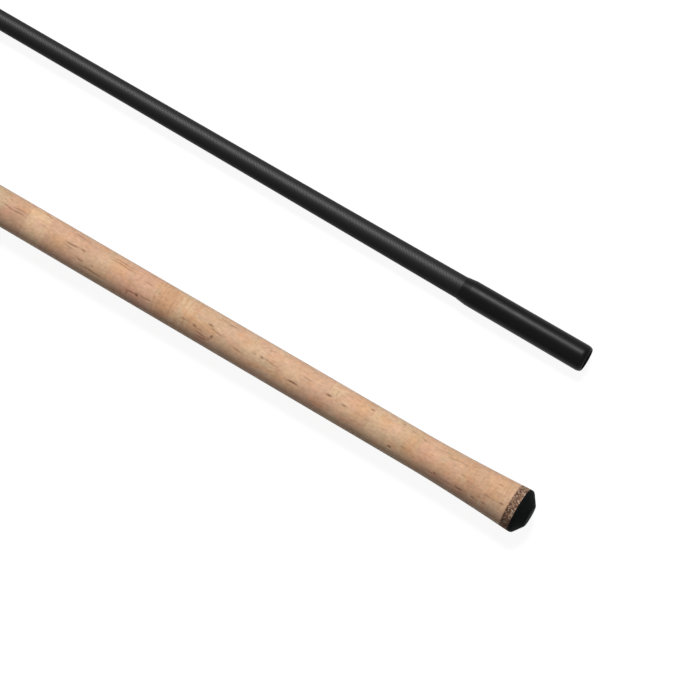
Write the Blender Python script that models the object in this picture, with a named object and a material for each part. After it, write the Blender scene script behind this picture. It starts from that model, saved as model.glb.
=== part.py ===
"""A two-piece carp rod, its two sections laid side by side on a flat surface.

Lengths are in metres. +X runs from the butt cap towards the tip and +Z is up.
The origin is the centre of the butt cap's flat end, on the butt section's axis.
Each section is drawn about its own axis with its guides upwards, then rolled
outwards about that axis until its widest guide touches the surface.
"""
import math
from collections import namedtuple

import bmesh
import bpy
from mathutils import Vector

# Facets round every turned or wound piece, so that nested pieces keep even gaps
SIDES = 24
STEP = 2 * math.pi / SIDES

# Gaps between pieces that are glued, and between pieces that slide or turn
GLUE_LINE = 0.0001
RUNNING_GAP = 0.0003

# How the two sections lie
SECTION_SPACING = 0.0841
TIP_RIM_X = 0.0179
BUTT_BLANK_END = 1.857
TIP_BLANK_LENGTH = 1.858

# Butt cap: flat end, cone, round shoulder and a stub inside the blank
CAP_RADIUS = 0.0116
CAP_LENGTH = 0.0062
CAP_FLAT_RADIUS = 0.0057
CAP_CONE_LENGTH = 0.0043
CAP_ROUNDING = 0.0013
CAP_STUB_LENGTH = 0.0120

# Rings of cork: one of burl cork next to the cap, then natural cork
BURL_LENGTH = 0.0060
CORK_RING_LENGTH = 0.0127
RINGS_PER_BLOCK = 3
REAR_BLOCKS = 13
FORE_BLOCKS = 2
CORK_EDGE = 0.0002
GRIP_REAR_RADIUS = 0.00955
GRIP_FRONT_RADIUS = 0.0087
FLARE_LENGTH = 0.056
FLARE_POWER = 1.6
FORE_REAR_RADIUS = 0.0112
FORE_FRONT_RADIUS = 0.0089

# Butt blank: a tube that tapers to a shoulder, then the male end of the joint
BUTT_BLANK_RADIUS = 0.0068
BUTT_SHOULDER_RADIUS = 0.0059
BUTT_WALL = 0.0011
MALE_LENGTH = 0.064
SHOULDER_LENGTH = 0.004
MALE_WHIPPING_LENGTH = 0.018
PLUG_DEPTH = 0.008
PLUG_HEAD = 0.0012

# Female joint sleeve on the tip section
SLEEVE_LENGTH = 0.0712
SLEEVE_RIM_RADIUS = 0.00695
SLEEVE_TOP_RADIUS = 0.0067
SLEEVE_LIP = 0.0012
SLEEVE_STEP_LENGTH = 0.0042
SLEEVE_STEP_EDGE = 0.00015
SOCKET_DEPTH = 0.057
SOCKET_RADIUS = 0.00555
SOCKET_TAPER = 0.0060
SOCKET_CHAMFER = 0.0004
JOINT_OVERLAP = 0.054
JOINT_CLEARANCE = 0.00006

# Tip blank: a straight taper with a swell behind the joint
TIP_END_RADIUS = 0.00115
TIP_TAPER = 0.00237
TIP_SWELL = 0.00092
SWELL_LENGTH = 0.300
TIP_WALL = 0.0008

# Reel seat: arbors, barrel with a flat bed, hoods and nuts
ARBOR_WALL = 0.00096
ARBOR_LENGTH = 0.030
BARREL_WALL = 0.00205
BED_WALL = 0.0008
BED_LAND_RISE = 0.0001
REEL_FOOT_LENGTH = 0.064
HOOD_TRAVEL = 0.020
HOOD_WALL = 0.00135
HOOD_COLLAR = 0.008
POCKET_DEPTH = 0.016
POCKET_WIDTH = 0.013
POCKET_HEIGHT = 0.0064
POCKET_SLOPE = 0.0008
NUT_WALL = 0.00145
NUT_RIDGE = 0.0007
NUT_EDGE = 0.0010
HOOD_NUT_LENGTH = 0.012
LOCK_NUT_LENGTH = 0.007
BARREL_SPARE = 0.003
REAR_TRIM_LENGTH = 0.004
FRONT_TRIM_LENGTH = 0.003
CHECK_LENGTH = 0.005
CHECK_RISE = 0.0008

# Guides: a ring holder on sprung feet that thread ties to the blank
BAND_WALL = 0.0011
BAND_WIDTH = 0.0024
CERAMIC_WALL = 0.0019
CERAMIC_WIDTH = 0.0032
RING_SEAT = 0.0002
FOOT_THICKNESS = 0.0009
TOE_THICKNESS = 0.0003
TOE_RAMP = 0.004
STRUT_ROOT = 0.0022
STRUT_GAP = 0.25
STRUT_FACET_INDEX = 2
STRUT_STEPS = 4
THREAD_THICKNESS = 0.00035
THREAD_CLEARANCE = 0.00012
WHIPPING_RUN = 0.006

Guide = namedtuple("Guide", "name station ring_radius rise spread foot_length foot_width feet")
BUTT_GUIDES = (
    Guide("butt_guide", 1.180, 0.0250, 0.0140, 0.0170, 0.0140, 0.0044, 2),
)
TIP_GUIDES = (
    Guide("guide_40", 0.470, 0.0200, 0.0125, 0.0145, 0.0125, 0.0040, 2),
    Guide("guide_30", 0.900, 0.0150, 0.0095, 0.0115, 0.0115, 0.0036, 2),
    Guide("guide_20", 1.240, 0.0100, 0.0070, 0.0085, 0.0105, 0.0030, 1),
    Guide("guide_16", 1.560, 0.0080, 0.0055, 0.0070, 0.0095, 0.0026, 1),
)
TIP_TOP_RADIUS = 0.0070
TIP_TOP_TUBE = 0.012
TIP_TOP_WALL = 0.0006
TIP_TOP_ROOT = 0.0030
TIP_TOP_REACH = 0.0045
TIP_TOP_RISE = 0.0012
TIP_STRUT_INDEX = 1
TIP_WHIPPING_LENGTH = 0.010

# Colour, roughness and metallic value of each finish
FINISHES = {
    "cork": ((0.66, 0.45, 0.29, 1.0), 0.80, 0.0),
    "burl": ((0.30, 0.19, 0.11, 1.0), 0.85, 0.0),
    "rubber": ((0.020, 0.022, 0.022, 1.0), 0.70, 0.0),
    "carbon": ((0.018, 0.018, 0.020, 1.0), 0.45, 0.0),
    "lacquer": ((0.012, 0.012, 0.014, 1.0), 0.25, 0.0),
    "seat": ((0.025, 0.025, 0.027, 1.0), 0.35, 0.0),
    "foam": ((0.10, 0.10, 0.10, 1.0), 0.90, 0.0),
    "alloy": ((0.10, 0.10, 0.11, 1.0), 0.30, 1.0),
    "steel": ((0.09, 0.09, 0.10, 1.0), 0.30, 1.0),
    "ceramic": ((0.05, 0.05, 0.055, 1.0), 0.12, 0.0),
    "thread": ((0.015, 0.015, 0.017, 1.0), 0.20, 0.0),
}

# One cross-section of a piece, square to its axis: a circle of a radius, which may be
# stretched over a bar of a width and a top, cut by a flat, or ridged all round
Section = namedtuple("Section", "x radius width top flat ridge", defaults=(0.0, 0.0, 0.0, 0.0))


def clear_scene():
    for old in list(bpy.data.objects):
        bpy.data.objects.remove(old, do_unlink=True)


def blend(start, end, share):
    return start + (end - start) * share


def rounded_corner(start, corner, end, steps):
    """Points from start to end along a curve that keeps inside the corner."""
    points = []
    for i in range(steps + 1):
        t = i / steps
        first = blend(start[0], corner[0], t), blend(start[1], corner[1], t)
        second = blend(corner[0], end[0], t), blend(corner[1], end[1], t)
        points.append((blend(first[0], second[0], t), blend(first[1], second[1], t)))
    return points


def corner_angle(section):
    """Angle from the crown to the section's corner, or None for a plain circle."""
    if 0 < section.flat < section.radius:
        return math.acos(section.flat / section.radius)
    if section.top and math.hypot(section.width / 2, section.top) > section.radius:
        return math.atan2(section.width / 2, section.top)
    return None


def reach(section, angle):
    """Distance from the axis to the section's outline at an angle from the crown."""
    corner = corner_angle(section)
    if corner is None:
        return section.radius
    if section.flat:
        return section.flat / math.cos(angle) if angle < corner else section.radius
    span = math.acos(section.radius / math.hypot(section.width / 2, section.top))
    if angle <= corner:
        return section.top / math.cos(angle)
    if angle < corner + span:
        return section.radius / math.cos(corner + span - angle)
    return section.radius


def outline(section, corner_step, offset):
    """The section's points, with one point each side moved onto its corner."""
    points = []
    corner = corner_angle(section)
    for i in range(SIDES):
        turn = i if i <= SIDES // 2 else i - SIDES
        angle = turn * STEP
        if corner is not None and abs(turn) == corner_step:
            angle = math.copysign(corner, turn)
        radius = reach(section, abs(angle)) - (section.ridge if i % 2 else 0.0)
        points.append(Vector((section.x - offset, radius * math.sin(angle), radius * math.cos(angle))))
    return points


def finish_mesh(name, bm, finish, parent, location):
    """Turn a closed bmesh into a named object with its own material."""
    bmesh.ops.recalc_face_normals(bm, faces=bm.faces)
    mesh = bpy.data.meshes.new(name)
    bm.to_mesh(mesh)
    bm.free()
    mesh.shade_smooth()
    mesh.set_sharp_from_angle(angle=math.radians(32))
    color, roughness, metallic = FINISHES[finish]
    material = bpy.data.materials.new(name)
    material.use_nodes = True
    shader = material.node_tree.nodes["Principled BSDF"]
    shader.inputs["Base Color"].default_value = color
    shader.inputs["Roughness"].default_value = roughness
    shader.inputs["Metallic"].default_value = metallic
    mesh.materials.append(material)
    piece = bpy.data.objects.new(name, mesh)
    piece.parent = parent
    piece.location = location
    bpy.context.collection.objects.link(piece)
    return piece


def lofted(name, sections, finish, parent, tube=True, centre=(0.0, 0.0)):
    """A piece through its sections: a tube joins the last one to the first, a plug is capped."""
    corners = [angle for angle in map(corner_angle, sections) if angle is not None]
    corner_step = max(1, round(max(corners) / STEP)) if corners else 0
    start = sections[0].x
    bm = bmesh.new()
    rings = [[bm.verts.new(point) for point in outline(s, corner_step, start)] for s in sections]
    spans = list(zip(rings, rings[1:]))
    if tube:
        spans.append((rings[-1], rings[0]))
    else:
        bm.faces.new(rings[0])
        bm.faces.new(rings[-1])
    for first, second in spans:
        for i in range(SIDES):
            j = (i + 1) % SIDES
            bm.faces.new((first[i], first[j], second[j], second[i]))
    return finish_mesh(name, bm, finish, parent, (start, *centre))


def axis_empty(name, y, z, roll, x=0.0):
    """The frame of one section: its axis along X, rolled about that axis."""
    empty = bpy.data.objects.new(name, None)
    empty.location = (x, y, z)
    empty.rotation_euler = (roll, 0.0, 0.0)
    bpy.context.collection.objects.link(empty)
    return empty


# Radii along the rod


def grip_radius(x):
    """Outside of the rear grip: a slow taper with a flare at the butt."""
    share = (x - CAP_LENGTH) / (rear_grip_end() - CAP_LENGTH)
    flare = max(0.0, 1 - (x - CAP_LENGTH) / FLARE_LENGTH) ** FLARE_POWER
    return blend(GRIP_REAR_RADIUS, GRIP_FRONT_RADIUS, share) + (CAP_RADIUS - GRIP_REAR_RADIUS) * flare


def fore_radius(x, start, end):
    """Outside of the foregrip: a hollow taper towards the blank."""
    share = (x - start) / (end - start)
    return blend(FORE_REAR_RADIUS, FORE_FRONT_RADIUS, 1 - (1 - share) ** 2)


def rear_grip_end():
    return CAP_LENGTH + BURL_LENGTH + REAR_BLOCKS * RINGS_PER_BLOCK * CORK_RING_LENGTH


def male_start():
    return BUTT_BLANK_END - MALE_LENGTH


def butt_blank_radius(x):
    """Outside of the butt blank: taper, shoulder, then the male end that fits the socket."""
    depth = JOINT_OVERLAP - (BUTT_BLANK_END - x)
    fit = SOCKET_RADIUS - SOCKET_TAPER * depth - JOINT_CLEARANCE
    shoulder = male_start() - SHOULDER_LENGTH
    if x <= shoulder:
        return blend(BUTT_BLANK_RADIUS, BUTT_SHOULDER_RADIUS, x / shoulder)
    if x < male_start():
        fit_start = SOCKET_RADIUS - SOCKET_TAPER * (JOINT_OVERLAP - MALE_LENGTH) - JOINT_CLEARANCE
        return blend(BUTT_SHOULDER_RADIUS, fit_start, (x - shoulder) / SHOULDER_LENGTH)
    return fit


def tip_blank_radius(x):
    """Outside of the tip blank, with x measured from the sleeve's rim."""
    swell = max(0.0, 1 - x / SWELL_LENGTH) ** 2
    return TIP_END_RADIUS + TIP_TAPER * (TIP_BLANK_LENGTH - x) + TIP_SWELL * swell


# Butt section


def butt_cap(parent):
    cone_rise = CAP_RADIUS - CAP_FLAT_RADIUS
    edge = CAP_ROUNDING / math.hypot(CAP_CONE_LENGTH, cone_rise)
    corner = CAP_CONE_LENGTH, CAP_RADIUS
    flat_end = blend(0.0, CAP_CONE_LENGTH, edge), blend(CAP_FLAT_RADIUS, CAP_RADIUS, edge)
    shoulder = blend(CAP_CONE_LENGTH, 0.0, edge), blend(CAP_RADIUS, CAP_FLAT_RADIUS, edge)
    profile = rounded_corner((0.0, CAP_FLAT_RADIUS - CAP_ROUNDING / 2), (0.0, CAP_FLAT_RADIUS), flat_end, 2)
    profile += rounded_corner(shoulder, corner, (CAP_CONE_LENGTH + CAP_ROUNDING, CAP_RADIUS), 4)
    profile.append((CAP_LENGTH, CAP_RADIUS))
    stub = BUTT_BLANK_RADIUS - BUTT_WALL - 2 * GLUE_LINE
    profile += [(CAP_LENGTH, stub), (CAP_LENGTH + CAP_STUB_LENGTH, stub - GLUE_LINE)]
    lofted("butt_cap", [Section(x, r) for x, r in profile], "rubber", parent, tube=False)


def cork_block(name, start, end, outside, finish, parent):
    """One glued-up length of cork, with softened end edges and a bore for the blank."""
    stretches = max(1, round(outside_bend(outside, start, end)))
    xs = [blend(start + CORK_EDGE, end - CORK_EDGE, i / stretches) for i in range(stretches + 1)]
    sections = [Section(start, outside(start) - CORK_EDGE)]
    sections += [Section(x, outside(x)) for x in xs]
    sections.append(Section(end, outside(end) - CORK_EDGE))
    for x in (end, start):
        sections.append(Section(x, butt_blank_radius(x) + GLUE_LINE))
    lofted(name, sections, finish, parent)


def outside_bend(outside, start, end):
    """Straight stretches that a curved side needs, from how far it strays from its chord."""
    middle = (start + end) / 2
    sag = abs(outside(middle) - (outside(start) + outside(end)) / 2)
    return 1 + min(5.0, sag / (GLUE_LINE / 2))


def cork(parent):
    start = CAP_LENGTH + GLUE_LINE
    cork_start = CAP_LENGTH + BURL_LENGTH
    cork_block("burl_cork_ring", start, cork_start, grip_radius, "burl", parent)
    block = RINGS_PER_BLOCK * CORK_RING_LENGTH
    for i in range(REAR_BLOCKS):
        x = cork_start + i * block
        cork_block(f"grip_cork_{i + 1:02d}", x + GLUE_LINE, x + block, grip_radius, "cork", parent)


def butt_blank(parent):
    rear = CAP_LENGTH + GLUE_LINE
    shoulder = male_start() - SHOULDER_LENGTH
    outside = [Section(x, butt_blank_radius(x)) for x in (rear, shoulder, male_start(), BUTT_BLANK_END)]
    inside = [Section(s.x, s.radius - BUTT_WALL) for s in reversed(outside)]
    lofted("butt_blank", outside + inside, "carbon", parent)


def male_end_fittings(parent):
    end = male_start() - SHOULDER_LENGTH
    start = end - MALE_WHIPPING_LENGTH
    edge = THREAD_THICKNESS / 2
    inner = [Section(x, butt_blank_radius(x) + THREAD_CLEARANCE) for x in (start, end)]
    outer = [
        Section(start, inner[0].radius + edge),
        Section(start + 2 * edge, inner[0].radius + THREAD_THICKNESS),
        Section(end - 2 * edge, inner[1].radius + THREAD_THICKNESS),
        Section(end, inner[1].radius + edge),
    ]
    lofted("male_end_whipping", outer + inner[::-1], "thread", parent)
    bore = butt_blank_radius(BUTT_BLANK_END) - BUTT_WALL - GLUE_LINE
    head = BUTT_BLANK_END + GLUE_LINE
    rim = butt_blank_radius(BUTT_BLANK_END) - 2 * GLUE_LINE
    plug = [
        Section(BUTT_BLANK_END - PLUG_DEPTH, bore - GLUE_LINE),
        Section(head, bore),
        Section(head, rim),
        Section(head + PLUG_HEAD / 2, rim),
        Section(head + PLUG_HEAD, rim * 0.7),
    ]
    lofted("male_end_plug", plug, "rubber", parent, tube=False)


# Reel seat


class Seat:
    """Places along the reel seat, each from the one before, and its radii from the blank outwards."""

    rear_trim = rear_grip_end() + GLUE_LINE
    barrel = rear_trim + REAR_TRIM_LENGTH + GLUE_LINE
    fixed_pocket = barrel + HOOD_COLLAR
    fixed_mouth = fixed_pocket + POCKET_DEPTH
    moving_pocket = fixed_pocket + REEL_FOOT_LENGTH + HOOD_TRAVEL
    moving_mouth = moving_pocket - POCKET_DEPTH
    moving_end = moving_pocket + HOOD_COLLAR
    hood_nut = moving_end + RUNNING_GAP
    lock_nut = hood_nut + HOOD_NUT_LENGTH + RUNNING_GAP
    barrel_end = lock_nut + LOCK_NUT_LENGTH + BARREL_SPARE
    front_trim = barrel_end + GLUE_LINE
    foregrip = front_trim + FRONT_TRIM_LENGTH + GLUE_LINE
    foregrip_end = foregrip + FORE_BLOCKS * RINGS_PER_BLOCK * CORK_RING_LENGTH
    winding_check = foregrip_end + GLUE_LINE

    bore = butt_blank_radius(barrel) + GLUE_LINE + ARBOR_WALL + GLUE_LINE
    bed = bore + BED_WALL
    radius = bore + BARREL_WALL
    hood_radius = radius + RUNNING_GAP + HOOD_WALL
    nut_radius = radius + RUNNING_GAP + NUT_WALL


def collar(name, start, end, rear_radius, front_radius, bore, parent):
    """A turned trim ring with a crowned outside."""
    crown = max(rear_radius, front_radius)
    sections = [
        Section(start, rear_radius),
        Section(blend(start, end, 0.35), crown),
        Section(blend(start, end, 0.65), crown),
        Section(end, front_radius),
        Section(end, bore(end)),
        Section(start, bore(start)),
    ]
    lofted(name, sections, "alloy", parent)


def blank_bore(x):
    return butt_blank_radius(x) + GLUE_LINE


def seat_barrel(parent):
    sections = [
        Section(Seat.barrel, Seat.radius),
        Section(Seat.fixed_pocket - GLUE_LINE, Seat.radius),
        Section(Seat.fixed_pocket, Seat.radius, flat=Seat.bed),
        Section(Seat.fixed_mouth, Seat.radius, flat=Seat.bed),
        Section(Seat.fixed_mouth + RUNNING_GAP, Seat.radius, flat=Seat.bed + BED_LAND_RISE),
        Section(Seat.moving_mouth - RUNNING_GAP, Seat.radius, flat=Seat.bed + BED_LAND_RISE),
        Section(Seat.moving_mouth, Seat.radius, flat=Seat.bed),
        Section(Seat.barrel_end, Seat.radius, flat=Seat.bed),
        Section(Seat.barrel_end, Seat.bore),
        Section(Seat.barrel, Seat.bore),
    ]
    lofted("reel_seat_barrel", sections, "seat", parent)
    for name, start in (("rear_arbor", Seat.barrel), ("front_arbor", Seat.barrel_end - ARBOR_LENGTH)):
        end = start + ARBOR_LENGTH
        outside = [Section(x, Seat.bore - GLUE_LINE) for x in (start, end)]
        inside = [Section(x, blank_bore(x)) for x in (end, start)]
        lofted(name, outside + inside, "foam", parent)


def hood(name, collar_end, pocket, mouth, bore, bore_flat, parent):
    """A hood: a collar round the barrel that opens into a pocket for one end of the reel foot."""
    outer = Seat.hood_radius
    roof = Seat.bed + POCKET_HEIGHT
    length = mouth - pocket
    inner_width = POCKET_WIDTH
    outer_width = POCKET_WIDTH + HOOD_WALL
    rear_roof = roof - POCKET_SLOPE
    sections = [
        Section(collar_end, outer - HOOD_WALL / 3),
        Section(blend(collar_end, pocket, 0.2), outer),
        Section(blend(collar_end, pocket, 0.45), outer, outer_width, outer),
        Section(pocket + 0.1 * length, outer, outer_width, rear_roof + HOOD_WALL),
        Section(mouth - 0.1 * length, outer, outer_width, roof + HOOD_WALL),
        Section(mouth, outer - HOOD_WALL / 4, outer_width - HOOD_WALL / 4, roof + 0.7 * HOOD_WALL),
        Section(mouth, bore, inner_width, roof),
        Section(pocket, bore, inner_width, rear_roof),
        Section(pocket, bore, flat=bore_flat),
        Section(collar_end, bore, flat=bore_flat),
    ]
    return lofted(name, sections, "seat", parent)


def nut(name, start, length, parent):
    """A ridged ring that turns on the barrel's thread."""
    end = start + length
    outer, bore = Seat.nut_radius, Seat.radius + RUNNING_GAP
    sections = [
        Section(start, outer - NUT_EDGE),
        Section(start + NUT_EDGE, outer, ridge=NUT_RIDGE),
        Section(end - NUT_EDGE, outer, ridge=NUT_RIDGE),
        Section(end, outer - NUT_EDGE),
        Section(end, bore),
        Section(start, bore),
    ]
    lofted(name, sections, "alloy", parent)


def reel_seat(parent):
    grip_end = grip_radius(rear_grip_end())
    collar("rear_trim_ring", Seat.rear_trim, Seat.rear_trim + REAR_TRIM_LENGTH, grip_end,
           Seat.hood_radius - HOOD_WALL / 3, blank_bore, parent)
    seat_barrel(parent)
    hood("fixed_hood", Seat.barrel, Seat.fixed_pocket, Seat.fixed_mouth, Seat.radius + GLUE_LINE, 0.0, parent)
    hood("moving_hood", Seat.moving_end, Seat.moving_pocket, Seat.moving_mouth,
         Seat.radius + RUNNING_GAP, Seat.bed + RUNNING_GAP, parent)
    nut("hood_nut", Seat.hood_nut, HOOD_NUT_LENGTH, parent)
    nut("lock_nut", Seat.lock_nut, LOCK_NUT_LENGTH, parent)
    collar("front_trim_ring", Seat.front_trim, Seat.front_trim + FRONT_TRIM_LENGTH, Seat.radius,
           FORE_REAR_RADIUS, blank_bore, parent)


def foregrip(parent):
    def outside(x):
        return fore_radius(x, Seat.foregrip, Seat.foregrip_end)

    block = RINGS_PER_BLOCK * CORK_RING_LENGTH
    for i in range(FORE_BLOCKS):
        x = Seat.foregrip + i * block
        cork_block(f"foregrip_cork_{i + 1:02d}", x + GLUE_LINE, x + block, outside, "cork", parent)
    check_end = Seat.winding_check + CHECK_LENGTH
    collar("winding_check", Seat.winding_check, check_end, FORE_FRONT_RADIUS,
           blank_bore(check_end) + CHECK_RISE, blank_bore, parent)


# Female joint and tip blank


def socket_radius(depth):
    return SOCKET_RADIUS - SOCKET_TAPER * depth


def ferrule_sleeve(parent):
    lip = [(SLEEVE_LIP * (1 - math.sin(a)), SLEEVE_RIM_RADIUS - SLEEVE_LIP * (1 - math.cos(a)))
           for a in (math.radians(90 - 30 * i) for i in range(4))]
    end = SLEEVE_LENGTH
    seat_end = tip_blank_radius(end) + GLUE_LINE
    seat_start = tip_blank_radius(SOCKET_DEPTH) + GLUE_LINE
    profile = lip + [
        (end - SLEEVE_STEP_LENGTH, SLEEVE_TOP_RADIUS),
        (end, seat_end + SLEEVE_STEP_EDGE),
        (end, seat_end),
        (SOCKET_DEPTH, seat_start),
        (SOCKET_DEPTH, socket_radius(SOCKET_DEPTH)),
        (SOCKET_CHAMFER, socket_radius(SOCKET_CHAMFER)),
        (0.0, SOCKET_RADIUS + SOCKET_CHAMFER),
    ]
    lofted("ferrule_sleeve", [Section(x, r) for x, r in profile], "lacquer", parent)


def tip_blank(parent):
    start = SOCKET_DEPTH + GLUE_LINE
    swell = [blend(start, SWELL_LENGTH, i / 5) for i in range(6)]
    xs = swell + [TIP_BLANK_LENGTH]
    outside = [Section(x, tip_blank_radius(x)) for x in xs]
    inside = [Section(x, tip_blank_radius(x) - TIP_WALL) for x in (TIP_BLANK_LENGTH, SWELL_LENGTH, start)]
    lofted("tip_blank", outside + inside, "carbon", parent)


# Guides


def add_band(bm, centre, radius, openings):
    """The ring holder, counted from its lowest point, without the quads where struts join it."""
    loops = {}
    for side in (-1, 1):
        for edge, r in (("outer", radius), ("inner", radius - BAND_WALL)):
            loops[side, edge] = [
                bm.verts.new(centre + Vector((side * BAND_WIDTH / 2, r * math.sin(i * STEP), -r * math.cos(i * STEP))))
                for i in range(SIDES)
            ]
    for i in range(SIDES):
        j = (i + 1) % SIDES
        for edge in ("outer", "inner"):
            rear, front = loops[-1, edge], loops[1, edge]
            bm.faces.new((rear[i], rear[j], front[j], front[i]))
        for side in (-1, 1):
            if (side, i) not in openings:
                outer, inner = loops[side, "outer"], loops[side, "inner"]
                bm.faces.new((outer[i], outer[j], inner[j], inner[i]))
    return loops


def band_quad(loops, side, hand, place):
    """Corners of the holder's quad at a place counted from its lowest point, on one hand."""
    near, far = hand * place, hand * (place + 1)
    outer, inner = loops[side, "outer"], loops[side, "inner"]
    return [outer[near], outer[far], inner[far], inner[near]]


def add_strut(bm, root, crown, root_way, crown_way):
    """A strut whose four edges are curves from the root's corners to the crown's."""
    previous = root
    for step in range(1, STRUT_STEPS + 1):
        t = step / STRUT_STEPS
        if step == STRUT_STEPS:
            current = crown
        else:
            weights = (1 - t) ** 3, 3 * t * (1 - t) ** 2, 3 * t * t * (1 - t), t ** 3
            current = []
            for a, b in zip(root, crown):
                points = a.co, a.co + root_way, b.co + crown_way, b.co
                current.append(bm.verts.new(sum((w * p for w, p in zip(weights, points)), Vector())))
        for i in range(4):
            j = (i + 1) % 4
            bm.faces.new((previous[i], previous[j], current[j], current[i]))
        previous = current


def add_foot(bm, heel, way, height, length, width):
    """A foot with a ground toe; it returns the corners of its two strut roots."""
    stations = (
        (0.0, FOOT_THICKNESS),
        (STRUT_ROOT, FOOT_THICKNESS),
        (length - TOE_RAMP, FOOT_THICKNESS),
        (length, TOE_THICKNESS),
    )
    gap = STRUT_GAP * width
    across = (-width / 2, -gap / 2, gap / 2, width / 2)
    bottom, top = [], []
    for along, thickness in stations:
        x = heel + way * along
        bottom.append([bm.verts.new((x, y, height)) for y in across])
        top.append([bm.verts.new((x, y, height + thickness)) for y in across])
    for i in range(len(stations) - 1):
        for j in range(3):
            bm.faces.new((bottom[i][j], bottom[i][j + 1], bottom[i + 1][j + 1], bottom[i + 1][j]))
            if i or j == 1:
                bm.faces.new((top[i][j], top[i][j + 1], top[i + 1][j + 1], top[i + 1][j]))
        for j in (0, 3):
            bm.faces.new((bottom[i][j], top[i][j], top[i + 1][j], bottom[i + 1][j]))
    for i in (0, -1):
        for j in range(3):
            bm.faces.new((bottom[i][j], bottom[i][j + 1], top[i][j + 1], top[i][j]))
    return {
        1: [top[0][2], top[0][3], top[1][3], top[1][2]],
        -1: [top[0][1], top[0][0], top[1][0], top[1][1]],
    }


def foot_height(guide, blank_radius):
    """Underside of the guide's feet: just clear of the blank's thicker end."""
    return blank_radius(guide.station - guide.spread - guide.foot_length) + GLUE_LINE


def ring_height(guide, blank_radius):
    return foot_height(guide, blank_radius) + guide.rise + guide.ring_radius


def guide_frame(guide, blank_radius, parent):
    ways = (1, -1)[:guide.feet]
    openings = {(way, place) for way in ways for place in (STRUT_FACET_INDEX, SIDES - 1 - STRUT_FACET_INDEX)}
    bm = bmesh.new()
    height = foot_height(guide, blank_radius)
    loops = add_band(bm, Vector((0.0, 0.0, ring_height(guide, blank_radius))), guide.ring_radius, openings)
    for way in ways:
        roots = add_foot(bm, way * guide.spread, way, height, guide.foot_length, guide.foot_width)
        for hand in (1, -1):
            crown = band_quad(loops, way, hand, STRUT_FACET_INDEX)
            add_strut(bm, roots[hand], crown, Vector((0.0, 0.0, guide.rise / 2)),
                      Vector((way * guide.spread / 2, 0.0, 0.0)))
    finish_mesh(f"{guide.name}_frame", bm, "steel", parent, (guide.station, 0.0, 0.0))


def ceramic_ring(name, x, radius, height, parent):
    """The hard ring that the line runs through, seated in the holder."""
    outer = radius - BAND_WALL - RING_SEAT
    middle = outer - CERAMIC_WALL / 2
    inner = outer - CERAMIC_WALL
    half = CERAMIC_WIDTH / 2
    profile = [(-half, middle), (-half / 2, outer), (half / 2, outer), (half, middle), (half / 2, inner),
               (-half / 2, inner)]
    sections = [Section(x + along, r) for along, r in profile]
    lofted(name, sections, "ceramic", parent, centre=(0.0, height))


def foot_whipping(name, guide, way, blank_radius, parent):
    """Thread wound over the blank and one foot, from beside the strut to past the toe."""
    heel = guide.station + way * guide.spread
    toe = heel + way * guide.foot_length
    base = foot_height(guide, blank_radius)
    wide = guide.foot_width + 2 * THREAD_CLEARANCE
    full = base + FOOT_THICKNESS + THREAD_CLEARANCE
    low = base + TOE_THICKNESS + THREAD_CLEARANCE
    places = (
        (heel + way * (STRUT_ROOT + THREAD_THICKNESS), full),
        (toe - way * TOE_RAMP, full),
        (toe + way * THREAD_THICKNESS, low),
        (toe + way * WHIPPING_RUN / 3, 0.0),
        (toe + way * WHIPPING_RUN, 0.0),
    )
    inner, outer = [], []
    for x, top in places:
        radius = blank_radius(x) + THREAD_CLEARANCE
        inner.append(Section(x, radius, wide, top))
        outer.append(Section(x, radius + THREAD_THICKNESS, wide + THREAD_THICKNESS,
                             top + THREAD_THICKNESS if top else 0.0))
    lofted(name, outer + inner[::-1], "thread", parent)


def guide_set(guides, blank_radius, parent):
    for guide in guides:
        guide_frame(guide, blank_radius, parent)
        ceramic_ring(f"{guide.name}_ring", guide.station, guide.ring_radius,
                     ring_height(guide, blank_radius), parent)
        labels = ("front_whipping", "rear_whipping") if guide.feet == 2 else ("whipping",)
        for label, way in zip(labels, (1, -1)):
            foot_whipping(f"{guide.name}_{label}", guide, way, blank_radius, parent)


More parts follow.
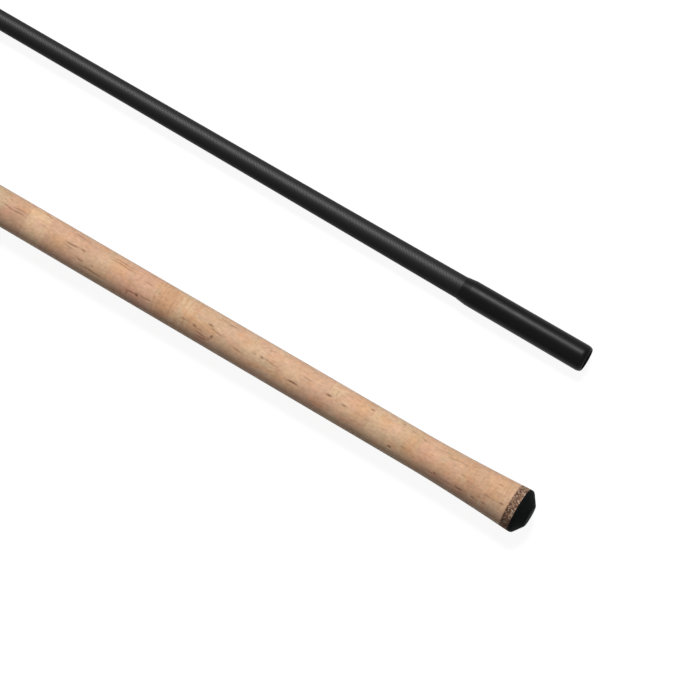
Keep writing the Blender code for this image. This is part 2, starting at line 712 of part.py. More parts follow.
def tip_top(parent):
    """A tube over the blank's end, a ring holder ahead of it and two struts between them."""
    end = TIP_BLANK_LENGTH
    bore = tip_blank_radius(end - TIP_TOP_TUBE) + GLUE_LINE
    outer = bore + TIP_TOP_WALL
    start = end - TIP_TOP_TUBE
    height = outer + TIP_TOP_RISE + TIP_TOP_RADIUS
    ring_x = end + TIP_TOP_REACH
    bm = bmesh.new()
    loops = add_band(bm, Vector((ring_x - start, 0.0, height)), TIP_TOP_RADIUS, {(-1, 0), (-1, SIDES - 1)})
    profile = [(0.0, outer), (TIP_TOP_TUBE - TIP_TOP_ROOT, outer), (TIP_TOP_TUBE, outer), (TIP_TOP_TUBE, bore),
               (0.0, bore)]
    rings = [[bm.verts.new(point) for point in outline(Section(x, r), 0, 0.0)] for x, r in profile]
    for k, (first, second) in enumerate(zip(rings, rings[1:] + rings[:1])):
        for i in range(SIDES):
            j = (i + 1) % SIDES
            if k == 1 and i in (TIP_STRUT_INDEX, SIDES - 1 - TIP_STRUT_INDEX):
                continue
            bm.faces.new((first[i], first[j], second[j], second[i]))
    for hand in (1, -1):
        near, far = hand * TIP_STRUT_INDEX, hand * (TIP_STRUT_INDEX + 1)
        root = [rings[2][near], rings[2][far], rings[1][far], rings[1][near]]
        add_strut(bm, root, band_quad(loops, -1, hand, 0), Vector((0.0, 0.0, TIP_TOP_RISE / 2)),
                  Vector((-TIP_TOP_REACH / 2, 0.0, 0.0)))
    finish_mesh("tip_top_frame", bm, "steel", parent, (start, 0.0, 0.0))
    ceramic_ring("tip_top_ring", ring_x, TIP_TOP_RADIUS, height, parent)
    whipping_end = start + TIP_WHIPPING_LENGTH / 3
    whipping_start = start - 2 * TIP_WHIPPING_LENGTH / 3
    over_blank = tip_blank_radius(whipping_start) + THREAD_CLEARANCE
    over_tube = outer + THREAD_CLEARANCE
    inner = [(whipping_start, over_blank), (start - TIP_WHIPPING_LENGTH / 5, over_blank),
             (start - THREAD_CLEARANCE, over_tube), (whipping_end, over_tube)]
    sections = [Section(x, r + THREAD_THICKNESS) for x, r in inner]
    sections += [Section(x, r) for x, r in reversed(inner)]
    lofted("tip_top_whipping", sections, "thread", parent)


def resting_lean(guides, blank_radius, support):
    """Angle above the surface at which the widest guide just touches it."""
    return max(math.asin(max(0.0, guide.ring_radius - support) / ring_height(guide, blank_radius))
               for guide in guides)


def build():
    clear_scene()
    butt_lean = resting_lean(BUTT_GUIDES, butt_blank_radius, CAP_RADIUS)
    tip_lean = resting_lean(TIP_GUIDES, tip_blank_radius, SLEEVE_RIM_RADIUS)
    quarter = math.pi / 2
    butt = axis_empty("butt_axis", 0.0, 0.0, butt_lean - quarter)
    tip = axis_empty("tip_axis", -SECTION_SPACING, SLEEVE_RIM_RADIUS - CAP_RADIUS, quarter - tip_lean, TIP_RIM_X)
    butt_cap(butt)
    cork(butt)
    butt_blank(butt)
    reel_seat(butt)
    foregrip(butt)
    guide_set(BUTT_GUIDES, butt_blank_radius, butt)
    male_end_fittings(butt)
    ferrule_sleeve(tip)
    tip_blank(tip)
    guide_set(TIP_GUIDES, tip_blank_radius, tip)
    tip_top(tip)


build()
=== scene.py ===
"""Looks of a two-piece carp rod whose sections lie side by side.

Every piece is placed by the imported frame: metres, +X from the butt to the tip, +Z up.
"""
import random
from math import acos, atan2, copysign, cos, exp, hypot, pi, radians, sin, sqrt

import bmesh
import bpy
import numpy as np
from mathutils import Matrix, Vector


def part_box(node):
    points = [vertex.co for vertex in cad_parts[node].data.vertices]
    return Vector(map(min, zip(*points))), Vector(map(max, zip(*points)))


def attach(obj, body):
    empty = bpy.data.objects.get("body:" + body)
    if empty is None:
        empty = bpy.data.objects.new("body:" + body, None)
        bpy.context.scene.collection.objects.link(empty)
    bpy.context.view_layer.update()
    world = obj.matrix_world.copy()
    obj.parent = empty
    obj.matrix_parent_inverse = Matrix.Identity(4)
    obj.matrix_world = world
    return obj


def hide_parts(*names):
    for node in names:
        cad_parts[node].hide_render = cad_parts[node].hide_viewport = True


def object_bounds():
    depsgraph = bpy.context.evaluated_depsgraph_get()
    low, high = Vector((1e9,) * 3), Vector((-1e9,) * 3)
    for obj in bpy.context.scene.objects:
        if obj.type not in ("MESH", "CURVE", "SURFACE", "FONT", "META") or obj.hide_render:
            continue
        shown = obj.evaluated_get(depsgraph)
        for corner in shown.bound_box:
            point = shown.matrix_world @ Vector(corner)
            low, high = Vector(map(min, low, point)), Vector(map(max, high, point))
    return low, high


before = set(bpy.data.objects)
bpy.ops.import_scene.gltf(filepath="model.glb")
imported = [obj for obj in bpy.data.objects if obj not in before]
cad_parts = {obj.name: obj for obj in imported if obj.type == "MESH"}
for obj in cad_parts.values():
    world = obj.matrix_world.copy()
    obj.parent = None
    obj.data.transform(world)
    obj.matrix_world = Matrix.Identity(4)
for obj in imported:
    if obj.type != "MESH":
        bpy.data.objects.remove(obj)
cad_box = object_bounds()
MM = 0.001

# The camera: a long lens high above the butt ends. It looks down across both sections,
# so that they run side by side from the lower right to the upper left.
CAMERA_TARGET = Vector((120.86, -29.75, -11.6)) * MM
CAMERA_DISTANCE = 3
CAMERA_TURN = radians(31.507)
CAMERA_DIP = radians(72.426)
CAMERA_LENS = 313.4


def placed(name, data):
    """A new object in the scene for a mesh, a curve, a lamp or the camera."""
    thing = bpy.data.objects.new(name, data)
    bpy.context.collection.objects.link(thing)
    return thing


camera = placed("camera", bpy.data.cameras.new("camera"))
camera.data.lens = CAMERA_LENS
camera.rotation_euler = (pi / 2 - CAMERA_DIP, 0, pi + CAMERA_TURN)
camera.location = CAMERA_TARGET + camera.rotation_euler.to_matrix() @ Vector((0, 0, CAMERA_DISTANCE))
bpy.context.scene.camera = camera
bpy.context.scene.view_settings.view_transform = "Standard"


# The studio: a white floor that keeps a faint shadow, a white surround, and one broad lamp
# high on the far side, which draws the highlight just above the middle of each black tube.
FLOOR_SIZE = 24
FLOOR_DROP = 0.2 * MM
FLOOR_TONE = (0.1, 0.1, 0.1, 1)
FLOOR_GLOW = 0.92
WHITE = (1, 1, 1, 1)
SURROUND_LIGHT = 0.25
LAMP_STRENGTH = 3.15
LAMP_ANGLE = radians(16)
LAMP_WAY = Vector((0.2, -0.39, 0.9))


def feed(tree, node, inputs):
    """Feed a node's inputs, each from another node's output or with a plain value."""
    for key, value in inputs.items():
        if isinstance(value, bpy.types.NodeSocket):
            tree.links.new(value, node.inputs[key])
        else:
            node.inputs[key].default_value = value


def add_node(tree, kind, inputs, out=0, **settings):
    """One output of a new node that has those settings and inputs."""
    node = tree.nodes.new(kind)
    for label, value in settings.items():
        setattr(node, label, value)
    feed(tree, node, inputs)
    return node.outputs[out]


def worked_out(tree, operation, *values, **settings):
    """What a math node makes of plain values or outputs."""
    return add_node(tree, "ShaderNodeMath", dict(enumerate(values)), operation=operation, **settings)


def new_material(name):
    """A material, its node tree and its Principled shader."""
    material = bpy.data.materials.new(name)
    material.use_nodes = True
    return material, material.node_tree, material.node_tree.nodes["Principled BSDF"]


def mesh_object(name, bm, material):
    """An object with the mesh that was built, in one material."""
    mesh = bpy.data.meshes.new(name)
    bm.to_mesh(mesh)
    bm.free()
    mesh.materials.append(material)
    return placed(name, mesh)


def seen_directly(tree):
    """1 for what the camera sees directly, or in gloss or glass, and 0 for light on the object."""
    path = tree.nodes.new("ShaderNodeLightPath").outputs
    seen = worked_out(tree, "ADD", path["Is Camera Ray"], path["Is Glossy Ray"], use_clamp=True)
    return worked_out(tree, "ADD", seen, path["Is Transmission Ray"], use_clamp=True)


low, high = (Vector(corner) for corner in cad_box)
middle = (low + high) / 2
bm = bmesh.new()
bmesh.ops.create_grid(bm, x_segments=8, y_segments=8, size=FLOOR_SIZE / 2)
bmesh.ops.translate(bm, verts=bm.verts, vec=(middle.x, middle.y, low.z - FLOOR_DROP))
white_floor, tree, shader = new_material("white_floor")
glow = worked_out(tree, "MULTIPLY", seen_directly(tree), FLOOR_GLOW)
feed(tree, shader, {"Base Color": FLOOR_TONE, "Roughness": 1, "Specular IOR Level": 0,
                    "Emission Color": WHITE, "Emission Strength": glow})
mesh_object("floor", bm, white_floor)

world = bpy.data.worlds.new("white_surround")
bpy.context.scene.world = world
world.use_nodes = True
tree = world.node_tree
strength = add_node(tree, "ShaderNodeMapRange", {"Value": seen_directly(tree), "To Min": SURROUND_LIGHT})
feed(tree, tree.nodes["Background"], {"Color": WHITE, "Strength": strength})

lamp = placed("lamp", bpy.data.lights.new("lamp", "SUN"))
lamp.data.energy = LAMP_STRENGTH
lamp.data.angle = LAMP_ANGLE
lamp.rotation_euler = LAMP_WAY.to_track_quat("Z", "Y").to_euler()


# Butt cap: one moulding of black rubber, pushed over the end of the blank and glued.
# A flat end, a cone and a short round shoulder, with the dull skin of its mould.
CAP_LENGTH = 6.2 * MM
CAP_RADIUS = 11.6 * MM
CAP_FLAT_RADIUS = 5.7 * MM
CAP_CONE_LENGTH = 4.3 * MM
CAP_STUB_RADIUS = 5.3 * MM
CAP_STUB_END = 18.2 * MM
CAP_EDGE = 0.5 * MM
CAP_ROUNDING = 1.3 * MM
RUBBER_TONES = (0.0016, 0.0024, 0.0024, 1), (0.004, 0.0052, 0.0052, 1)
TURNED_SIDES = 96
SAME_POINT = 1e-7

BUTT, TIP = "butt_section", "tip_section"
sleeve_low, sleeve_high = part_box("ferrule_sleeve")
axis_of = {BUTT: (0, 0), TIP: ((sleeve_low.y + sleeve_high.y) / 2, (sleeve_low.z + sleeve_high.z) / 2)}


def rounded(points, radius, steps=5):
    """The points, (x, r) pairs, with every inner corner replaced by a curve of about that radius."""
    result = [points[0]]
    for corners in zip(points, points[1:], points[2:]):
        before, corner, after = (Vector(point) for point in corners)
        start = corner + (before - corner).normalized() * min(radius, (before - corner).length / 2)
        end = corner + (after - corner).normalized() * min(radius, (after - corner).length / 2)
        for t in (i / steps for i in range(steps + 1)):
            result.append(tuple(start.lerp(corner, t).lerp(corner.lerp(end, t), t)))
    return result + [points[-1]]


def bridged(bm, loops, closed):
    """Faces from each loop of points to the next one, and from the last to the first if closed."""
    for loop, following in zip(loops, loops[1:] + loops[:1] if closed else loops[1:]):
        for corners in zip(loop, loop[1:] + loop[:1], following[1:] + following[:1], following):
            bm.faces.new(corners)


def turned(name, profile, material, centre=axis_of[BUTT], sides=TURNED_SIDES, closed=True, start=0,
           sharp=35):
    """A skin round a line along X, through a loop for each (x, reach) of the profile. Either may be
    one number or one for each side. Unless the profile is closed, it starts and ends on the line."""
    angles = start + 2 * np.pi * np.arange(sides) / sides
    bm = bmesh.new()
    loops = []
    for x, reach in profile:
        ys, zs = centre[0] + reach * np.cos(angles), centre[1] + reach * np.sin(angles)
        loops.append([bm.verts.new(point) for point in zip(np.broadcast_to(x, sides), ys, zs)])
    bridged(bm, loops, closed)
    bmesh.ops.remove_doubles(bm, verts=bm.verts, dist=SAME_POINT)
    bmesh.ops.recalc_face_normals(bm, faces=bm.faces)
    piece = mesh_object(name, bm, material)
    piece.data.shade_smooth()
    piece.data.set_sharp_from_angle(angle=radians(sharp))
    return piece


def fit(piece, body, node):
    """The piece rides on its body and stands for a CAD node, which it hides."""
    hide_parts(node)
    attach(piece, body)


def new_group(name, kind, inputs, outputs):
    """A node tree with named sockets, its inputs, and the node that takes its outputs."""
    group = bpy.data.node_groups.new(name, kind)
    for side, sockets in (("INPUT", inputs), ("OUTPUT", outputs)):
        for label, socket in sockets.items():
            group.interface.new_socket(label, in_out=side, socket_type="NodeSocket" + socket)
    return group, group.nodes.new("NodeGroupInput").outputs, group.nodes.new("NodeGroupOutput")


def grain_group():
    """Noise, drawn out along an axis where Stretch is below 1, cut at two levels and put on a new range."""
    sizes = dict.fromkeys(("Scale", "Detail", "Low", "High", "At Low", "At High"), "Float")
    group, given, put_out = new_group("surface_grain", "ShaderNodeTree",
                                      {"Vector": "Vector", "Stretch": "Vector", **sizes}, {"Value": "Float"})
    drawn = add_node(group, "ShaderNodeVectorMath", {0: given["Vector"], 1: given["Stretch"]},
                     operation="MULTIPLY")
    noise = add_node(group, "ShaderNodeTexNoise", {"Vector": drawn, "Scale": given["Scale"],
                                                   "Detail": given["Detail"], "Roughness": 0.6})
    feed(group, put_out, {"Value": add_node(group, "ShaderNodeMapRange", {
        "Value": noise, "From Min": given["Low"], "From Max": given["High"],
        "To Min": given["At Low"], "To Max": given["At High"]})})
    return group


surface_grain = grain_group()


class Finish:
    """A material in the making, with the patterns that its colour, gloss and relief are made of."""

    def __init__(self, name):
        self.material, self.tree, self.shader = new_material(name)
        self.place = self.add("ShaderNodeTexCoord", {}, "Object")

    def add(self, kind, inputs, out=0, **settings):
        return add_node(self.tree, kind, inputs, out, **settings)

    def grain(self, scale, low=0.3, high=0.7, at_low=0, at_high=1, stretch=(1, 1, 1), detail=2):
        return self.add("ShaderNodeGroup", {
            "Vector": self.place, "Stretch": stretch, "Scale": scale, "Detail": detail,
            "Low": low, "High": high, "At Low": at_low, "At High": at_high}, node_tree=surface_grain)

    def spread(self, value, low, high, to_low, to_high):
        """The value, clamped and mapped from one range to another."""
        return self.add("ShaderNodeMapRange", {"Value": value, "From Min": low, "From Max": high,
                                               "To Min": to_low, "To Max": to_high})

    def mixed(self, share, first, second):
        inputs = {"Factor": share, "A": first, "B": second}
        return self.add("ShaderNodeMix", inputs, "Result", data_type="RGBA")

    def times(self, first, second):
        return worked_out(self.tree, "MULTIPLY", first, second)

    def done(self, colour, roughness, height, depth, level=0.5, metallic=0):
        """The material, where a height of 1 stands proud by the depth and level is that of its gloss."""
        relief = self.add("ShaderNodeBump", {"Height": height, "Distance": depth}, "Normal")
        feed(self.tree, self.shader, {"Base Color": colour, "Roughness": roughness, "Normal": relief,
                                      "Specular IOR Level": level, "Metallic": metallic})
        return self.material


def mottled(name, tones, patches, polish, rough, depth, relief=None, **plain):
    """A finish in two tones, rough within a range. patches, polish and relief are the sizes of its
    patterns, as grain takes them, and the relief is that of the polish unless it has its own."""
    finish = Finish(name)
    colour = finish.mixed(finish.grain(**patches), *tones)
    roughness = finish.spread(finish.grain(**polish), 0, 1, *rough)
    return finish.done(colour, roughness, finish.grain(**(relief or polish)), depth, **plain)


rubber = mottled("black_rubber", RUBBER_TONES, dict(scale=320, low=0.42, high=0.75, detail=4),
                 dict(scale=2600), (0.78, 0.9), 0.03 * MM, level=0.07)
cap_corner = (CAP_CONE_LENGTH, CAP_RADIUS)
cap_end = rounded([(0, 0), (0, CAP_FLAT_RADIUS), cap_corner], CAP_EDGE)[:-1]
cap_shoulder = rounded([cap_end[-1], cap_corner, (CAP_LENGTH, CAP_RADIUS)], CAP_ROUNDING, 8)[1:]
cap_stub = [(CAP_LENGTH, CAP_STUB_RADIUS), (CAP_STUB_END, CAP_STUB_RADIUS), (CAP_STUB_END, 0)]
butt_cap = turned("butt_cap_skin", cap_end + cap_shoulder + cap_stub, rubber, closed=False)
fit(butt_cap, BUTT, "butt_cap")


# Burl ring: one ring of composite cork, ground granules pressed with dark rubber binder.
# Turned flush with the cap, where its granules stand a little proud of the binder.
BURL_START = CAP_LENGTH
BURL_END = 10.8 * MM
BURL_GRAIN = 0.75 * MM
BURL_WARP = 0.5 * MM
BURL_BUMP = 0.018 * MM
BURL_SIDES = 160
BURL_DARK = (0.09, 0.047, 0.03, 1)
BURL_BROWN = (0.265, 0.148, 0.088, 1)
BURL_PALE = (0.46, 0.35, 0.262, 1)
GRIP_REAR_RADIUS = 9.55 * MM
GRIP_FRONT_RADIUS = 8.7 * MM
FLARE_LENGTH = 56 * MM
FLARE_POWER = 1.6
BUTT_BLANK_RADIUS = 6.8 * MM
BUTT_SHOULDER_RADIUS = 5.9 * MM
BUTT_SHOULDER = 1789 * MM
GLUE_LINE = 0.05 * MM
rear_grip_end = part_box("grip_cork_13")[1].x


def grip_radius(x):
    """Outside of the rear grip: a slow taper with a flare at the butt."""
    share = (x - CAP_LENGTH) / (rear_grip_end - CAP_LENGTH)
    flare = max(0, 1 - (x - CAP_LENGTH) / FLARE_LENGTH) ** FLARE_POWER
    taper = GRIP_REAR_RADIUS + (GRIP_FRONT_RADIUS - GRIP_REAR_RADIUS) * share
    return taper + (CAP_RADIUS - GRIP_REAR_RADIUS) * flare


def butt_radius(x):
    """Outside of the butt blank, which tapers evenly as far as its shoulder."""
    return BUTT_BLANK_RADIUS + (BUTT_SHOULDER_RADIUS - BUTT_BLANK_RADIUS) * x / BUTT_SHOULDER


def burl_material():
    finish = Finish("burl_cork")
    warp = finish.add("ShaderNodeTexNoise", {"Vector": finish.place, "Scale": 900}, "Color")
    warped = finish.add("ShaderNodeVectorMath", {0: warp, 1: (BURL_WARP,) * 3, 2: finish.place},
                        operation="MULTIPLY_ADD")
    granules = {"Vector": warped, "Scale": 1 / BURL_GRAIN, "Randomness": 1}
    to_middle = finish.add("ShaderNodeTexVoronoi", granules, "Distance")
    own_shade = finish.add("ShaderNodeSeparateColor", {"Color": to_middle.node.outputs["Color"]}, "Red")
    cork_tone = finish.add("ShaderNodeValToRGB", {"Fac": own_shade}, "Color")
    tones = cork_tone.node.color_ramp.elements
    tones[0].color, tones[0].position = BURL_DARK, 0.22
    tones[1].color = BURL_PALE
    tones.new(0.62).color = BURL_BROWN
    colour = finish.mixed(finish.spread(to_middle, 0.45, 0.8, 0, 0.75), cork_tone, BURL_DARK)
    roughness = finish.grain(2400, 0.3, 0.7, 0.78, 0.95)
    return finish.done(colour, roughness, finish.spread(to_middle, 0.1, 0.8, 1, 0), 0.06 * MM, level=0.2)


burl_xs = np.linspace(BURL_START, BURL_END, 25)
burl_bumps = np.random.default_rng(5).normal(0, BURL_BUMP, (len(burl_xs), BURL_SIDES))
burl_profile = [(x, grip_radius(x) + bumps) for x, bumps in zip(burl_xs, burl_bumps)]
burl_profile += [(x, butt_radius(x) + GLUE_LINE) for x in (BURL_END, BURL_START)]
fit(turned("burl_ring", burl_profile, burl_material(), sides=BURL_SIDES), BUTT, "burl_cork_ring")


# Rear grip: half-inch rings of natural cork, glued end to end, turned and sanded to shape.
# Each ring has its own tone. Dark pores, the bark's breathing channels, run along the rod.
CORK_RING_LENGTH = 12.7 * MM
SEAM_WIDTH = 0.16 * MM
SEAM_DEPTH = 0.02 * MM
PORE_DEPTH = 0.14 * MM
PORE_WANDER = 0.25 * MM
WANDER_LENGTH = 1.9 * MM
BLOCK_LAP = 0.1 * MM
CORK_STEP_ALONG = 0.34 * MM
CORK_SIDES = 208
# Ends of the rings near the butt, in millimetres from the cap's face; beyond them the rings are even
SHOWN_RING_ENDS = (26, 39, 50, 63, 77, 91, 102, 115, 129, 143, 155, 167, 179, 191, 203, 215, 228, 240,
                   255, 266, 277, 289)
# The same rings from the butt: paleness, yellowness and strength of growth lines
SHOWN_RINGS = (
    (0.5, 0.6, 0.7), (0.4, 0.5, 0.6), (0.45, 0.4, 0.1), (0.6, 0.25, 0.2), (0.5, 0.75, 0.1), (0.7, 0.9, 0.1),
    (0.4, 0.45, 0), (0.7, 0.8, 0.1), (0.5, 0.3, 0), (0.6, 0.3, 0), (0.65, 0.8, 0), (0.6, 0.6, 0),
    (0.55, 0.55, 0.1), (0.55, 0.6, 0.2), (0.65, 0.8, 0.8), (0.4, 0.6, 0.8), (0.5, 0.1, 0.3), (0.6, 0.35, 0.4),
    (0.5, 0.5, 0.1), (0.55, 0.3, 0), (0.45, 0.25, 0), (1, 0.85, 0.1), (0.4, 0.15, 0),
)
# The clearest pores: millimetres from the cap's face, degrees round the grip, length, width, depth of colour
SHOWN_PORES = (
    (14, 65, 3, 0.8, 0.75), (20, 65, 8, 0.55, 0.5), (19, 110, 3, 0.65, 0.7), (22, 40, 2, 0.8, 0.7),
    (25, 50, 2, 0.65, 0.5), (28, 40, 2, 1, 0.8), (36, 40, 5, 1.05, 0.95), (37, 80, 2, 0.65, 0.6),
    (42, 35, 7, 0.65, 0.6), (43, 110, 11, 0.55, 0.5), (51, 115, 8, 0.55, 0.5), (49, 35, 17, 0.75, 0.4),
    (50, 40, 2, 1.05, 0.8), (63, 50, 2, 0.75, 0.4), (62, 115, 2, 0.75, 0.6), (69, 125, 1.5, 0.75, 0.6),
    (75, 130, 1.5, 0.8, 0.7), (76, 40, 2, 1.25, 0.95), (92, 115, 1.5, 1, 0.8), (91, 110, 0.5, 5, 0.35),
    (105, 80, 3, 0.9, 0.8), (114, 85, 3, 0.95, 1), (111, 105, 0.6, 4, 0.4), (127, 95, 6, 0.65, 0.55),
    (133, 60, 6, 0.95, 0.95), (150, 115, 1.5, 0.75, 0.6), (148, 80, 8, 0.55, 0.6), (152, 80, 2, 0.9, 0.8),
    (156, 80, 1.5, 0.75, 0.5), (165, 60, 5, 0.75, 0.5), (172, 125, 6, 0.75, 0.6), (178, 125, 4, 0.75, 0.6),
    (184, 35, 7, 0.8, 0.6), (185, 45, 6, 0.75, 0.6), (186, 55, 4, 0.65, 0.5), (180, 45, 1, 1, 0.7),
    (179, 55, 1.2, 1.8, 0.95), (177, 75, 6, 0.65, 0.5), (180, 80, 2, 0.75, 0.6), (182, 85, 3, 1, 0.85),
    (189, 60, 2, 1, 0.8), (195, 60, 5, 0.65, 0.5), (212, 90, 1.2, 0.8, 0.6), (219, 100, 6, 0.65, 0.5),
    (227, 40, 0.9, 3, 0.6), (217, 55, 7, 0.8, 0.6), (222, 50, 2, 1.4, 1), (225, 50, 6, 0.75, 0.8),
    (235, 110, 13, 0.65, 0.7), (235, 120, 13, 0.65, 0.7), (247, 40, 12, 0.8, 0.7), (255, 55, 3, 0.8, 0.7),
    (260, 125, 10, 0.75, 0.45), (263, 75, 5, 0.75, 0.45), (256, 85, 3, 1, 0.7), (262, 85, 8, 0.95, 0.75),
    (279, 90, 4, 0.75, 0.5), (280, 135, 7, 0.8, 0.6), (294, 85, 8, 0.8, 0.6), (294, 95, 8, 0.75, 0.6),
)
# Stained patches, in the same terms: the first group is ochre, the second reddish
SHOWN_OCHRE = (
    (20, 95, 13, 12, 0.8), (34, 95, 9, 14, 0.6), (67, 75, 8, 18, 0.9), (96, 90, 9, 14, 0.8),
    (165, 60, 7, 2, 0.7), (207, 80, 10, 20, 1), (247, 40, 13, 3, 0.7), (269, 70, 8, 9, 0.9),
    (234, 115, 12, 4, 0.7), (43, 115, 14, 4, 0.6),
)
SHOWN_RED = (
    (33, 75, 3.5, 4, 0.8), (49, 35, 18, 4, 0.7), (35, 35, 11, 6, 0.5), (104, 40, 8, 4, 0.6),
    (118, 40, 14, 6, 0.5), (160, 40, 20, 4, 0.4), (184, 40, 10, 7, 0.8), (207, 35, 8, 5, 0.7),
    (225, 45, 15, 5, 0.6), (260, 125, 11, 4, 0.5), (294, 90, 12, 8, 0.3), (58, 60, 9, 12, 0.35),
)
SHOWN_END = 300 * MM
SHOWN_SIDE = 15, 160
PORES_PER_MM = 0.85
PORE_LENGTHS = 1.2, 2, 3, 4.5, 7, 10
CORK_COLOUR = (0.559, 0.364, 0.233, 1)
CORK_WARM = (0.568, 0.331, 0.219, 1)
CORK_YELLOW = (0.549, 0.395, 0.242, 1)
CORK_OLIVE = (0.491, 0.349, 0.186, 1)
CORK_PINK = (0.566, 0.292, 0.198, 1)
CORK_OCHRE = (0.566, 0.312, 0.158, 1)
CORK_RED = (0.48, 0.21, 0.13, 1)
CORK_PORE = (0.16, 0.066, 0.032, 1)
CORK_GROWTH = (0.47, 0.235, 0.12, 1)
rng = random.Random(11)


def ring_ends(start, end):
    """Where the rings meet, with no last ring much shorter than the others."""
    ends = [start] + [x * MM for x in SHOWN_RING_ENDS if start < x * MM < end]
    while ends[-1] + 1.3 * CORK_RING_LENGTH < end:
        ends.append(ends[-1] + CORK_RING_LENGTH)
    return ends + [end]


def ring_looks(ends, shown=()):
    """The looks of each ring: as shown, or else its own at random."""
    looks = list(shown)
    for start, end in list(zip(ends, ends[1:]))[len(shown):]:
        own = random.Random(round((start + end) / 2 / MM))
        looks.append((own.random(), own.random(), 0.8 * own.random() ** 2))
    return np.array(looks)


def random_pores(start, end, shown_end):
    """Pores where the photograph doesn't show the cork: the far side, and the rest of the grip."""
    pores = []
    for _ in range(int((end - start) / MM * PORES_PER_MM)):
        x, angle = rng.uniform(start, end), rng.uniform(0, 360)
        if x >= shown_end or not SHOWN_SIDE[0] < angle < SHOWN_SIDE[1]:
            length = rng.choice(PORE_LENGTHS)
            pores.append((x / MM, angle, length, rng.uniform(0.35, 0.9), rng.uniform(0.35, 0.9)))
    return pores


def cork_block(name, node, ends, looks, outside, pores):
    """One glued-up length of cork: fine rows and columns that sink into seams and pores."""
    low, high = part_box(node)
    start, end = (BURL_END if node == "grip_cork_01" else low.x - BLOCK_LAP), high.x
    xs = np.linspace(start, end, round((end - start) / CORK_STEP_ALONG))
    for seam in ends:
        nearest = np.argmin(np.abs(xs - seam))
        if 0 < nearest < len(xs) - 1:
            xs[nearest] = seam
    angles = np.arange(CORK_SIDES) * 2 * np.pi / CORK_SIDES
    radius = np.repeat([[outside(x)] for x in xs], CORK_SIDES, axis=1)

    def stamped(marks, sharpness):
        depth = np.zeros(radius.shape)
        for x, degrees, length, width, strength in marks:
            along = (xs - x * MM) / (length * MM / 2)
            if np.abs(along).min() > 1.6:
                continue
            wander = PORE_WANDER * np.sin(xs / WANDER_LENGTH + x) / radius[:, 0]
            around = (angles - radians(degrees) - wander[:, None] + np.pi) % (2 * np.pi) - np.pi
            around *= radius / (width * MM / 2)
            spot = np.exp(-(np.abs(along)[:, None] ** sharpness)) * np.exp(-(np.abs(around) ** sharpness))
            depth = np.maximum(depth, strength * spot)
        return depth

    seams = np.max([np.exp(-(((xs - x) / SEAM_WIDTH) ** 2)) for x in ends], axis=0)[:, None]
    marks = {"pore": stamped(pores, 3), "seam": seams,
             "ochre": stamped(SHOWN_OCHRE, 2), "red": stamped(SHOWN_RED, 2)}
    radius -= SEAM_DEPTH * seams + PORE_DEPTH * marks["pore"]
    profile = list(zip(xs, radius)) + [(x, butt_radius(x) + GLUE_LINE) for x in (end, start)]
    piece = turned(name, profile, cork, sides=CORK_SIDES, sharp=60)

    def keep(label, outside_values, bore_value):
        values = np.full((len(profile), CORK_SIDES), bore_value, np.float32)
        values[:len(xs)] = outside_values
        piece.data.attributes.new(label, "FLOAT", "POINT").data.foreach_set("value", values.ravel())

    for label, depth in marks.items():
        keep(label, depth, 0)
    ring = np.clip(np.searchsorted(ends, xs, "right") - 1, 0, len(looks) - 1)
    for column, label in enumerate(("paleness", "yellowness", "lines")):
        keep(label, looks[ring, column][:, None], 0.5)
    fit(piece, BUTT, node)


def cork_material():
    finish = Finish("natural_cork")
    drawn = {label: finish.add("ShaderNodeAttribute", {}, "Fac", attribute_name=label)
             for label in ("paleness", "yellowness", "lines", "pore", "seam", "ochre", "red")}
    colour = finish.mixed(finish.spread(drawn["yellowness"], 0, 0.5, 1, 0), CORK_COLOUR, CORK_WARM)
    colour = finish.mixed(finish.spread(drawn["yellowness"], 0.5, 1, 0, 1), colour, CORK_YELLOW)
    for scale, low, high, share, shade, along in (
        (70, 0.42, 0.66, 0.4, CORK_OLIVE, 0.9),
        (100, 0.44, 0.66, 0.5, CORK_PINK, 0.8),
        (200, 0.52, 0.68, 0.65, CORK_OCHRE, 0.5),
        (650, 0.52, 0.72, 0.34, CORK_GROWTH, 0.6),
        (1500, 0.52, 0.72, 0.34, CORK_GROWTH, 0.5),
    ):
        patch = finish.grain(scale, low, high, 0, share, stretch=(along, 1, 1), detail=3)
        colour = finish.mixed(patch, colour, shade)
    for label, shade in (("ochre", CORK_OCHRE), ("red", CORK_RED)):
        broken = finish.grain(420, 0.3, 0.62, 0.45, 1, stretch=(0.5, 1, 1))
        colour = finish.mixed(finish.times(broken, drawn[label]), colour, shade)
    growth = finish.grain(820, 0.45, 0.63, 0, 0.75, stretch=(1, 0.1, 0.1))
    colour = finish.mixed(finish.times(growth, drawn["lines"]), colour, CORK_GROWTH)
    hair = finish.grain(1400, 0.6, 0.78, 0, 0.45, stretch=(0.16, 1, 1))
    colour = finish.mixed(hair, colour, CORK_PORE)
    pale = finish.spread(drawn["paleness"], 0, 1, 0.89, 1.13)
    for scale, low, high in ((140, 0.92, 1.06), (800, 0.86, 1.12)):
        pale = finish.times(pale, finish.grain(scale, 0.3, 0.7, low, high, stretch=(0.6, 1, 1)))
    colour = finish.add("ShaderNodeVectorMath", {0: colour, "Scale": pale}, operation="SCALE")
    colour = finish.mixed(drawn["pore"], colour, CORK_PORE)
    colour = finish.mixed(finish.spread(drawn["seam"], 0, 1, 0, 0.16), colour, CORK_GROWTH)
    feed(finish.tree, finish.shader, {"Sheen Weight": 0.75, "Sheen Roughness": 0.38})
    return finish.done(colour, finish.grain(1500, 0.3, 0.7, 0.66, 0.82), hair, -0.06 * MM, level=0.45)


